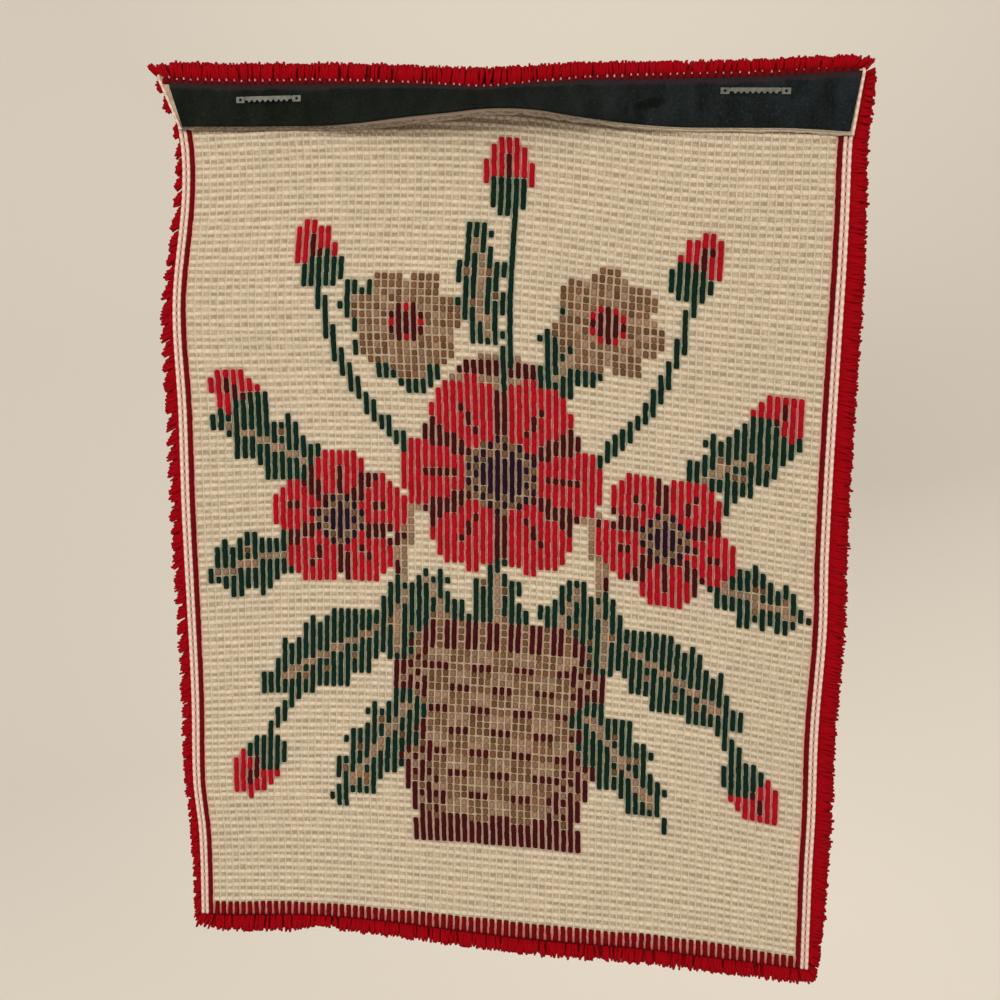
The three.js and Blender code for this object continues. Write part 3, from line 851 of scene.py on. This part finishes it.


# Cream with fine fibres up and down, mixed with a darker tan that is painted shade in the holes; the hem's
# cut end is grey-brown, and the fold is full of red yarn
def canvasFinish():
    finish = Finish("meshCanvas")
    across, along = finish.run()
    fibre = (across * 2 * np.pi / canvasWear["fibre"]).wave()
    weft = (along * 2 * np.pi / mesh["pitch"] * canvasWear["wefts"]).wave()
    grain = finish.noise(canvasWear["grainScale"], 4)
    patch = finish.noise(canvasWear["patchScale"], 1)
    share = fibre * canvasWear["fibreShare"] + canvasWear["middle"] + (grain - 0.5) * canvasWear["grain"]
    share = (share + (patch - 0.5) * canvasWear["patch"]).fit()
    colour = finish.mix(share, tint(*canvasColour["holeShade"]), tint(*canvasColour["thread"]))
    changes, over = canvasColour["cutChanges"]
    edge = finish.mix(((across - changes) / over).fit(), tint(*canvasColour["cutLeft"]),
                      tint(*canvasColour["cutRight"]))
    cut = ((0 - along) - canvasColour["cutBelow"] + (grain - 0.5) * 3).fit()
    colour = finish.mix(cut, colour, edge)
    inside = canvasColour["yarnReach"] - abs(across - canvasColour["yarnMiddle"])
    covered = (canvasColour["yarnRows"] - abs(along)).fit() * inside.fit()
    colour = finish.mix(covered, colour, tint(*canvasColour["yarn"]))
    return finish.wear(colour, canvasWear, fibre + weft * 0.5 + grain * 2)


def makeCanvas():
    across = np.linspace(0, 1, canvas["across"] + 1)
    section = hemSection(across)
    wide = len(across)
    places, outs, halves, runs = [], [], [], []
    def addRow(place, out, half, down):
        places.append(place)
        outs.append(np.broadcast_to(out, place.shape))
        halves.append(np.full((wide, 1), half))
        runs.append(np.stack([place[:, 0], np.full(wide, down)], -1))
    hemHalf, panelHalf = hem["thickness"] / 2, canvas["thickness"] / 2
    for k in np.linspace(1, 0, hem["steps"]):
        fray = luck.normal(0, hem["fray"], (wide, 1)) * (k == 1)
        place = blend(section["start"], section["edge"], k) + fray * up
        addRow(place, section["out"], hemHalf, k * canvas["hemRun"])
    for k in range(1, hem["foldSteps"]):
        angle = (np.pi - section["tilt"]) * (1 - k / hem["foldSteps"])
        out = np.stack([0 * angle, np.cos(angle), np.sin(angle)], -1)
        centre = np.stack([section["x"], 0 * angle, section["top"] - hem["foldRadius"]], -1)
        addRow(centre + out * hem["foldRadius"], out, blend(hemHalf, panelHalf, k / hem["foldSteps"]), k)
    drop = follow(topFold, "x", "z", panelPlace(across, 0)[:, 0]) - panelPlace(across, 1)[:, 2]
    for k in np.linspace(0, 1, canvas["down"]):
        down = blend(hem["foldRadius"] / drop, 1, k)
        addRow(panelPlace(across, down), behind, panelHalf, blend(*canvas["panelRun"], k))
    places, outs, halves = np.array(places), np.array(outs), np.array(halves)
    return shellBetween("meshCanvas", places - outs * halves, places + outs * halves, np.array(runs))


threadWear = {"grainScale": 1100, "grain": 0.7, "roughness": 0.85, "gloss": 0.2, "bumpDepth": 0.3}


# Thread between two colours, by its tone
def threadFinish(name, crown, low):
    finish = Finish(name)
    grain = finish.noise(threadWear["grainScale"], 3)
    share = (finish.tone() + (grain - 0.5) * threadWear["grain"]).fit()
    return finish.wear(finish.mix(share, tint(*low), tint(*crown)), threadWear, grain)


# The warps carry their own colours, a little darker between the rows as painted shade where they dip into the
# holes
def warpFinish():
    finish = Finish("warpThread")
    grain = finish.noise(threadWear["grainScale"], 3)
    shade = 0.78 + 0.12 * finish.tone() + 0.2 * grain
    return finish.wear(finish.shaded(finish.paint(), shade), threadWear, grain)


warpSize = {"crossWide": 1.25, "crossHigh": 1.8, "holeWide": 1.15, "holeHigh": 1.4, "uneven": 0.1,
            "sway": 0.1, "holeTone": 0.4}
# Where the warps end, under the roll along the foot
lastRow = mesh["rows"] + mesh["redRows"] - 0.3


# Warps stand between the columns and take on some of their neighbours' fluff
def makeWarps():
    columns = np.arange(mesh["columns"] - 1) + 0.5
    rows = np.arange(mesh["firstLoops"], lastRow, 0.5)
    column, row = np.meshgrid(columns, rows, indexing="ij")
    at, right, rising, out = meshFrames(column, row)
    crossing = np.isclose(np.mod(row, 1), 0)
    at = at + right * luck.normal(0, warpSize["sway"], row.shape)[..., None] + out * canvas["thickness"] / 2
    uneven = luck.normal(1, warpSize["uneven"], (2, *row.shape))
    wide = np.where(crossing, warpSize["crossWide"], warpSize["holeWide"]) * uneven[0]
    high = np.where(crossing, warpSize["crossHigh"], warpSize["holeHigh"]) * uneven[1]
    fluff = np.array([tint(*yarns[name]["warp"]) for name in yarnNames])
    nearRow = np.clip(np.round(row).astype(int) - mesh["firstRow"], 0, len(worked) - 1)
    left = fluff[worked[nearRow, np.floor(column).astype(int)]]
    beside = fluff[worked[nearRow, np.ceil(column).astype(int)]]
    # Between the rows the warps get a lower tone: painted shade in the holes
    tone = np.where(crossing, 1.0, warpSize["holeTone"])
    return tubesAlong("warpThreads", at, unit(right), out, 3, wide, high, tone, (left + beside) / 2)


sideSign = {"left": -1, "right": 1}
# Past says by how many rows the cords outlast the warps at the foot
selvage = {"cords": {"selvageOuter": {"inset": 1.9, "wide": 1.9, "high": 1.5},
                     "selvageInner": {"inset": 6.9, "wide": 1.9, "high": 1.5}},
           "dash": {"inset": 4.4, "wide": 0.95, "high": 0.7}, "swell": 0.12, "aboveLoops": 3.5, "step": 0.25,
           "beat": (0.55, 0.35), "dashBeat": (0.55, 1.8),
           "past": {"left": 0.0, "right": 0.55}, "crown": (246, 218, 202), "low": (216, 176, 158),
           "dark": (74, 52, 46), "dashLight": (222, 180, 164)}


# Two cords along each side edge, and a thin line of dark dashes between them: red yarn seen through the
# holes, darkened with painted shade
def makeSelvage(side):
    rows = np.arange(mesh["firstLoops"] - selvage["aboveLoops"], lastRow + selvage["past"][side],
                     selvage["step"])
    edgeColumn = {"left": 0, "right": mesh["columns"] - 1}[side]
    beat = np.cos(2 * np.pi * rows)[None]
    def cord(name, style, corners, tone):
        column = edgeColumn + sideSign[side] * (canvas["edgeInset"] - style["inset"]) / mesh["pitch"]
        at, right, rising, out = meshFrames(np.full(rows.shape, column), np.minimum(rows, lastRow))
        at = at - rising * ((rows - lastRow).clip(0) * mesh["pitch"])[:, None]
        line = (at + out * canvas["thickness"] / 2)[None]
        bulge = 1 + selvage["swell"] * beat
        return tubesAlong(name + side.capitalize(), line, unit(right)[None], out[None], corners,
                          style["wide"] * bulge, style["high"] * bulge, tone)
    tone, swing = selvage["beat"]
    made = [finishPiece(cord(name, style, 8, tone + swing * beat), selvageFinish)
            for name, style in selvage["cords"].items()]
    tone, swing = selvage["dashBeat"]
    dashes = cord("selvageDash", selvage["dash"], 5, (tone + swing * beat).clip(0, 1))
    return made + [finishPiece(dashes, dashFinish)]


hemCord = {"inset": 1.8, "wide": 1.6, "high": 1.2, "stations": 70, "overFold": 7, "beat": (0.5, 0.3)}


# The same cord goes on along the ends of the hem and over the fold
def makeHemCord(side):
    share = np.full(hemCord["stations"], {"left": 0.0, "right": 1.0}[side])
    section = hemSection(share)
    seam = follow(hemShape, "x", "seam", section["x"])
    above = np.linspace(0.99, 0, len(share)) * -section["long"] + seam
    overFold = np.linspace(0, 1, len(share)) ** 6 * hemCord["overFold"]
    above = np.where(above > seam - 0.01, seam, above) + overFold
    at, rising, out = foldPlace(share, above)
    bow = blend(section["start"], section["end"], ((seam - above) / section["long"]).clip(0, 1)[:, None])
    at[:, 0] = bow[:, 0] - sideSign[side] * hemCord["inset"]
    beat = np.cos(above / mesh["pitch"] * 2 * np.pi)[None]
    bulge = 1 + selvage["swell"] * beat
    tone, swing = hemCord["beat"]
    return tubesAlong("hemCord" + side.capitalize(), at[None], np.broadcast_to([1.0, 0, 0], at.shape)[None],
                      out[None], 8, hemCord["wide"] * bulge, hemCord["high"] * bulge, tone + swing * beat)


hemThread = {"count": 300, "back": (0.9, 3.0), "thick": 0.85, "flat": 0.7, "sway": 0.12, "tone": (0, 0.33),
             "paler": 0.6, "crown": (206, 188, 162), "low": (84, 70, 58)}


# The cut threads along the hem's free edge, lying on its front; they turn paler to the right
def makeHemThreads():
    share = np.linspace(0.004, 0.996, hemThread["count"])
    section = hemSection(share)
    lines, wides = [], []
    for back in hemThread["back"]:
        line = blend(section["start"], section["edge"], 1 - back / section["long"][:, None])
        sway = up * luck.normal(0, hemThread["sway"], (len(share), 1))
        lines.append(line + section["out"] * hem["thickness"] / 2 + sway)
        wides.append(luck.normal(hemThread["thick"], 0.1, len(share)))
    lines, wides = np.array(lines), np.array(wides)
    outs = np.broadcast_to(section["out"], lines.shape)
    changes, over = canvasColour["cutChanges"]
    tone = luck.uniform(*hemThread["tone"], wides.shape)
    tone = tone + hemThread["paler"] * ((section["x"] - changes) / over).clip(0, 1)
    return tubesAlong("hemThreads", lines, np.cross(outs, [1.0, 0, 0]), outs, 5, wides,
                      wides * hemThread["flat"], tone)


selvageFinish = threadFinish("selvageCord", selvage["crown"], selvage["low"])
# The dashes' dark brown is painted shade in the holes, over the red yarn behind them
dashFinish = threadFinish("selvageDash", selvage["dark"], selvage["dashLight"])
hemFinish = threadFinish("hemThread", hemThread["crown"], hemThread["low"])
canvasSheet = finishPiece(makeCanvas(), canvasFinish())
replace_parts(canvasSheet, "canvas")
trims = [finishPiece(makeWarps(), warpFinish()),
         finishPiece(makeHemThreads(), hemFinish)]
for side in sideSign:
    trims += makeSelvage(side)
    trims.append(finishPiece(makeHemCord(side), selvageFinish))
print("canvas, warps and selvages are made")


# The pile behind the canvas: two cut ends for every knot

pile = {"length": 18.0, "spread": 1.7, "lean": 0.16, "droop": -0.12, "uneven": 0.06, "belowFold": 6,
        "apart": 0.07, "sink": 0.35, "tone": (-0.2, 0.12), "rootShade": 0.62, "contrast": 0.4}
# How far strands flare at the rim: outwards at the sides, up below the fold and down above the foot
flare = {"share": 0.55, "sideFall": 25, "belowFold": 20, "foldFall": 12, "fromRow": 106, "rowFall": 4}


# Strands: the run along each is its share of the length
def placeStrands(name, shape, root, heading, reference, tone):
    count = len(root)
    across = unit(np.cross(heading, reference + 0.01))
    other = unit(np.cross(heading, across))
    spin = luck.uniform(0, 2 * np.pi, (count, 1))
    first = across * np.cos(spin) + other * np.sin(spin)
    second = other * np.cos(spin) - across * np.sin(spin)
    return placeCopies(name, shape, root, first, second, heading, tone, (0, 2))


def makePile(name, column, row, finish):
    column, row = np.repeat(column, 2), np.repeat(row, 2)
    at, right, rising, out = meshFrames(column, row)
    count = len(at)
    sign = np.where(np.arange(count) % 2, 1, -1)[:, None]
    at = at - out * canvas["thickness"] * pile["sink"] + unit(right) * sign * pile["spread"] * 0.5
    lean = luck.normal(0, pile["lean"], (count, 3)) * [1, 0.2, 1]
    heading = -out + unit(right) * sign * pile["apart"] + lean
    sideways = (column / (mesh["columns"] - 1) * 2 - 1) ** flare["sideFall"]
    below = follow(topFold, "x", "z", at[:, 0]) - at[:, 2]
    upward = ((flare["belowFold"] - below) / flare["foldFall"]).clip(0, 1)
    upward = upward - ((row - flare["fromRow"]) / flare["rowFall"]).clip(0, 1)
    heading = heading + unit(right) * (sideways * flare["share"])[:, None]
    heading = heading + up * (upward * flare["share"])[:, None]
    heading = unit(heading + up * pile["droop"]) * pile["length"] * luck.normal(1, pile["uneven"], (count, 1))
    piece = placeStrands(name, shapes["pile"], at, heading, up, 1 + luck.uniform(*pile["tone"], count))
    return finishPiece(piece, finish)


tufts = []
for yarnName in yarnNames:
    column, row = knotsOf(yarnName, mesh["firstRow"])
    place = meshPlace(column, row)
    below = place[:, 2] < follow(topFold, "x", "z", place[:, 0]) - pile["belowFold"]
    tip = yarns[yarnName]["pile"]
    # Roots are the tip colour darkened: painted shade where the strands crowd together
    root = [int(part * pile["rootShade"]) for part in tip]
    finish = pileFinish("pile" + yarnName.capitalize(), tip, root, pile["contrast"])
    for name, columns, rows in groupsOf("pile", yarnName, column[below], row[below]):
        tufts.append(makePile(name, columns, rows, finish))
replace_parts(tufts[0], "pile")
print("pile is placed", sum(len(p.data.polygons) for p in tufts))


# Red border: the fold and the lower edge are covered by red yarn, and tufts stand past all four edges

fold = {"knots": 92, "loopAbove": 2.6, "loop": (1.5, 0.85, 0.8), "dotAbove": 5.0, "dot": (0.4, 0.32, 1.1),
        "ends": (0.014, 0.986), "dotCrown": (236, 176, 170), "dotLow": (190, 96, 98)}


# Copies of a stitch along the fold, at a height above the band: its width, length and height are scaled
def placeOnFold(name, stitch, share, above, scale, lengths, tone):
    place, rising, out = foldPlace(share, above)
    wide, long, high = scale
    right = np.broadcast_to([wide, 0.0, 0.0], place.shape)
    return placeCopies(name, shapes[stitch], place, right, rising * long * lengths, out * high, tone)


# Along the fold: red loops side by side, darkened as painted shade under the fold, and a light dot of bare
# warp between each two
def makeFoldRow():
    share = np.linspace(*fold["ends"], fold["knots"])
    above = fold["loopAbove"] + luck.normal(0, 0.15, share.shape)
    # Tones below one darken these loops: painted shade where the yarn turns over the fold toward the band
    loopsAbove = placeOnFold("foldLoops", "bar", share, above, fold["loop"], 1,
                             luck.uniform(0.78, 0.92, len(share)))
    share = share[:-1] + luck.normal(0.5, 0.1, len(share) - 1) / fold["knots"]
    above = fold["dotAbove"] + luck.normal(0, 0.35, share.shape)
    lengths, tone = luck.uniform(0.7, 1.25, (len(share), 1)), luck.uniform(0.3, 1, len(share))
    dots = placeOnFold("foldDots", "cell", share, above, fold["dot"], lengths, tone)
    return [finishPiece(loopsAbove, loopFinish("edge")),
            finishPiece(dots, threadFinish("foldDot", fold["dotCrown"], fold["dotLow"]))]


roll = {"stations": 240, "above": 0.7, "half": 3.0, "uneven": 0.12, "flat": 0.95}


# A tube along an edge of the panel, as wide along its first way as half says
def tubeOnEdge(name, line, side, half, high, tone):
    outs = np.broadcast_to(-behind, line.shape)
    return tubesAlong(name, line[None], np.broadcast_to(side, line.shape)[None], outs[None], 8, half[None],
                      high[None], tone[None])


# A thick roll of red yarn wraps the lower edge
def makeRoll():
    share = np.linspace(0.004, 0.996, roll["stations"])
    half = luck.normal(roll["half"], roll["uneven"], share.shape)
    return tubeOnEdge("edgeRoll", panelPlace(share, 1) + up * roll["above"], up, half, half * roll["flat"],
                      luck.uniform(0.85, 1.05, len(share)))


# The border's darker root red is painted shade deep in the pile
border = {"tip": (168, 3, 17), "root": (158, 2, 15), "contrast": 0.35, "uneven": 0.055, "tone": (-0.09, 0.06),
          "deepReach": 0.45, "fan": 1.9, "tipDepth": 0.8, "rootInside": 2.2, "rootDeep": (0.45, 1.2),
          "frontRoot": 3.4, "foldRoot": 5.8, "foldSink": 0.5}
# Clumps: how unevenly they follow each other, how they shift with depth, and how their notches differ
clumps = {"sway": 0.22, "swayPace": 61, "shift": 0.03, "notch": 0.5, "notchMore": 0.8, "notchPace": 2.4}
core = {"stations": 170, "inside": 3, "short": 2.4, "clumpShort": 0.6, "behind": 3.6, "high": 3.4,
        "least": 1.2, "tone": (0.8, 0.95)}
# Each side: depths of its layers of strands, strands to a centimetre, how much they hang down, how strongly
# they clump, how long a clump is, how much strands lean into it, how they fan out, and how far they reach
borderSides = {
    "top": {"depths": (-3.5, 1, 5, 9, 13), "close": 7.0, "sag": 0.0, "clump": 0.9, "clumpLong": 27, "lean": 0,
            "fan": 0.8, "reach": [(0, 13), (0.25, 12), (0.5, 12.5), (0.8, 11.5), (1, 13)]},
    "left": {"depths": (0.5, 4, 8, 12), "close": 5.2, "sag": -0.55, "clump": 7, "clumpLong": 19, "lean": 0.25,
             "fan": 0.5, "reach": [(0, 9), (0.02, 8), (0.032, 1.5), (0.045, 1.5), (0.052, 5), (0.13, 9),
                                   (0.28, 13), (0.5, 13), (0.75, 11), (1, 8.5)]},
    "right": {"depths": (0.5, 4, 8, 12), "close": 7.2, "sag": -0.2, "clump": 0.9, "clumpLong": 13, "lean": 0,
              "fan": 0.7, "reach": [(0, 13), (0.08, 14), (0.2, 16.5), (0.6, 17), (0.9, 15), (1, 10)]},
    "bottom": {"depths": (-3.2, 1, 5, 9, 13), "close": 7.0, "sag": 0.0, "clump": 1.0, "clumpLong": 22,
               "lean": 0, "fan": 0.8, "reach": [(0, 11), (0.03, 14), (0.15, 14.5), (0.185, 11), (0.21, 7.5),
                                                (0.235, 11), (0.35, 12.5), (0.85, 12.5), (1, 11.5)]},
}
# Strands turn outwards on the last share of an edge, by so much at its very end
turnAside = {"longEdge": (0.02, 0.9), "shortEdge": (0.03, 1.0)}


# How strands turn aside near the ends of an edge: from -1 at its start to 1 at its end, times the turn
def endTurn(share, which):
    last, turn = turnAside[which]
    return turn * (((share - (1 - last)) / last).clip(0, 1) - ((last - share) / last).clip(0, 1))


# Edge of the panel: places, and the way strands head out
def edgeLine(side, share):
    if side in sideSign:
        line = panelPlace({"left": 0, "right": 1}[side], share)
        away = np.tile([sideSign[side], 0.0, 0.0], (len(share), 1))
        away[:, 2] = -endTurn(share, "longEdge")
        return line, unit(away)
    if side == "bottom":
        line, away = panelPlace(share, 1), np.tile(-up, (len(share), 1))
    else:
        section = hemSection(share)
        line = np.stack([section["x"], 0 * share, section["top"]], -1)
        away = np.tile(up, (len(share), 1))
    away[:, 0] = endTurn(share, "shortEdge")
    return line, unit(away)


# Strands in layers from the front to the back of the pile; clumps shorten and bunch them
def makeBorder(side):
    style = borderSides[side]
    guide = edgeLine(side, np.linspace(0, 1, 200))[0]
    run = np.concatenate([[0], np.cumsum(np.linalg.norm(np.diff(guide, axis=0), axis=1))])
    each = int(run[-1] / 10 * style["close"])
    count = each * len(style["depths"])
    depth = np.repeat(style["depths"], each)
    where = luck.uniform(0, 1, count)
    phase = where * run[-1] / style["clumpLong"] + clumps["sway"] * np.sin(where * clumps["swayPace"])
    phase = phase + depth * clumps["shift"]
    saw = np.mod(phase, 1)
    where = np.clip(where - (saw - 0.5) * style["lean"] * style["clumpLong"] / run[-1], 0, 1)
    line, away = edgeLine(side, where)
    reach = np.interp(where, *zip(*style["reach"])) + border["deepReach"] * np.maximum(depth, 0)
    differs = clumps["notchMore"] * np.abs(np.sin(np.floor(phase) * clumps["notchPace"]))
    notch = style["clump"] * (clumps["notch"] + differs)
    reach = reach * luck.normal(1, border["uneven"], count) - notch * (1 - saw) ** 2
    sideways = np.cross(away, behind) * luck.normal(0, style["fan"] * border["fan"], (count, 1))
    tipDepth = depth + luck.normal(0, border["tipDepth"], count)
    tip = line + away * reach[:, None] + behind * tipDepth[:, None] + sideways
    tip = tip + up * (style["sag"] * reach)[:, None]
    share, least = border["rootDeep"]
    root = line - away * border["rootInside"] + behind * np.maximum(depth * share, least)[:, None]
    front = depth < 0
    if side == "top":
        onFold = foldPlace(where[front].clip(*fold["ends"]), border["foldRoot"])[0]
        root[front] = onFold - behind * border["foldSink"]
    if side == "bottom":
        root[front] = line[front] + (up - behind) * border["frontRoot"]
    tone = 1 + luck.uniform(*border["tone"], count)
    piece = placeStrands("border" + side.capitalize(), shapes["tuft"], root, tip - root, behind, tone)
    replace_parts(finishPiece(piece, borderFinish), "pile_" + side)
    return piece


# The dense heart of the pile at an edge, which the strands stand on
def makeCore(side):
    style = borderSides[side]
    share = np.linspace(0.012, 0.988, core["stations"])
    line, away = edgeLine(side, share)
    reach = np.interp(share, *zip(*style["reach"])) - core["short"] - style["clump"] * core["clumpShort"]
    half = np.maximum(reach / 2 + core["inside"] / 2, core["least"]) * luck.normal(1, 0.03, share.shape)
    line = line + away * (half - core["inside"])[:, None] + behind * core["behind"]
    made = tubeOnEdge("core" + side.capitalize(), line, away, half, np.full(len(share), core["high"]),
                      luck.uniform(*core["tone"], len(share)))
    return finishPiece(made, borderFinish)


borderFinish = pileFinish("borderYarn", border["tip"], border["root"], border["contrast"])
foldPieces = makeFoldRow() + [finishPiece(makeRoll(), loopFinish("edge"))]
borders = [make(side) for side in borderSides for make in (makeBorder, makeCore)]
print("border is placed", sum(len(p.data.polygons) for p in borders))


# Heading band: a strip of dark cloth sewn on the hem

band = {"thickness": 1.4, "gap": 1.06, "aboveHemEdge": 3, "topLeft": -345.5, "topRight": 349,
        "freeLeft": -328, "freeRight": 339.5, "across": 240, "down": 16,
        "puckers": [{"long": 9.3, "deep": 0.22, "from": 0}, {"long": 23.7, "deep": 0.3, "from": 2}]}
bandColour = {"cloth": (12, 17, 14), "worn": (38, 43, 36), "blue": (46, 54, 58), "strip": (58, 42, 46),
              "lint": (104, 100, 88)}
bandWear = {"weave": 1.1, "weaveShare": 0.15, "mottleScale": 60, "mottle": 1.1, "darker": 0.17,
            "fibreScale": 420, "fibre": 1.1, "blueFrom": -60, "blueOver": 340, "smudge": (148, 24, 17, 6),
            "smudgeSlant": 0.2, "smudgeDepth": 0.55, "stripDown": 6.5, "stripOver": 2.2, "strip": 0.75,
            "lintFrom": 0.74, "lintSharp": 9, "lint": 0.5, "roughness": 0.88, "gloss": 0.1, "bumpDepth": 0.25}


# A close weave, faint slanting mottles, a smudge, some lint, and a darker red-brown strip along the upper
# seam that is painted shade under the red fold
def bandFinish():
    finish = Finish("headingCloth")
    across, along = finish.run()
    weave = (across * 2 * np.pi / bandWear["weave"]).wave() * (along * 2 * np.pi / bandWear["weave"]).wave()
    cloud = finish.noise(bandWear["mottleScale"], 3, (1, 1, 0.5))
    fibre = finish.noise(bandWear["fibreScale"], 3)
    lint = (finish.noise(bandWear["fibreScale"], 1) - bandWear["lintFrom"]) * bandWear["lintSharp"]
    share = cloud * bandWear["mottle"] - bandWear["darker"] + weave * bandWear["weaveShare"]
    share = (share + (fibre - 0.5) * bandWear["fibre"]).fit()
    blue = ((across - bandWear["blueFrom"]) / bandWear["blueOver"]).fit()
    worn = finish.mix(blue, tint(*bandColour["worn"]), tint(*bandColour["blue"]))
    x, down, wide, high = bandWear["smudge"]
    slanted = along - down + (across - x) * bandWear["smudgeSlant"]
    smudge = (1.2 - ((across - x) / wide) ** 2 - (slanted / high) ** 2).fit()
    share = share - smudge * bandWear["smudgeDepth"]
    colour = finish.mix(share.fit(), tint(*bandColour["cloth"]), worn)
    # Along the upper seam the cloth turns red-brown: painted shade under the fold's red yarn
    strip = ((bandWear["stripDown"] - along) / bandWear["stripOver"] + (cloud - 0.5) * 3).fit()
    colour = finish.mix(strip * bandWear["strip"], colour, tint(*bandColour["strip"]))
    colour = finish.mix(lint.fit() * bandWear["lint"], colour, tint(*bandColour["lint"]))
    return finish.wear(colour, bandWear, weave + fibre)


# Width of the hem or the band at a share of the way down: its left end and its right end
def endsOf(cloth, down):
    return [blend(cloth["top" + side], cloth["free" + side], down) for side in ("Left", "Right")]


# Rows go from the seam down to just above the hem's free edge, a little puckered by the sewing
def makeBand():
    share, k = np.meshgrid(np.linspace(0, 1, band["across"] + 1), np.linspace(0, 1, band["down"] + 1))
    inner, outer, run = [np.zeros((*share.shape, n)) for n in (3, 3, 2)]
    near = hem["thickness"] / 2 + hem["solidOver"] + band["gap"]
    for i in range(len(share)):
        down = k[i]
        for step in range(3):
            x = blend(*endsOf(band, down), share[i])
            hemLeft, hemRight = endsOf(hemEnds, down)
            section = hemSection((x - hemLeft) / (hemRight - hemLeft))
            seam = follow(hemShape, "x", "seam", section["x"]) / section["long"]
            down = blend(seam, 1 - band["aboveHemEdge"] / section["long"], k[i])
        place = blend(section["start"], section["end"], down[:, None])
        place[:, 0] = x
        pucker = sum(np.sin(x / wave["long"] + wave["from"]) * wave["deep"] for wave in band["puckers"])
        pucker = pucker * np.sin(np.pi * k[i]) ** 0.5
        inner[i] = place + section["out"] * near
        outer[i] = place + section["out"] * (near + band["thickness"] + pucker)[:, None]
        run[i] = np.stack([x, (down - seam) * section["long"]], -1)
    return shellBetween("headingBand", inner, outer, run)


headingBand = finishPiece(makeBand(), bandFinish())
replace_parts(headingBand, "heading_band")
print("heading band is made")


# Sawtooth hangers stay as they are, with a dull worn finish

metal = {"dark": (84, 85, 80), "light": (130, 130, 124), "cloudScale": 260, "scratchScale": 90,
         "scratch": (0.15, 1, 6), "metallic": 0.55, "smoothest": 0.35, "rougher": 0.3}


def hangerFinish():
    finish = Finish("hangerPlate")
    cloud = finish.noise(metal["cloudScale"], 3)
    scratch = finish.noise(metal["scratchScale"], 2, metal["scratch"])
    colour = finish.mix((cloud * 1.6 - 0.3).fit(), tint(*metal["dark"]), tint(*metal["light"]))
    roughness = (scratch * metal["rougher"] + metal["smoothest"]).fit()
    return finish.set(Base_Color=colour, Metallic=metal["metallic"], Roughness=roughness,
                      Normal=finish.bump(cloud, 0.1))


plate = hangerFinish()
hangers = [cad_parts[name] for name in ("hanger_left", "hanger_right")]
for hanger in hangers:
    hanger.data.materials.clear()
    hanger.data.materials.append(plate.material)

faces = {o.name: sum(len(p.vertices) - 2 for p in o.data.polygons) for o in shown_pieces()}
print("triangles", faces, sum(faces.values()))
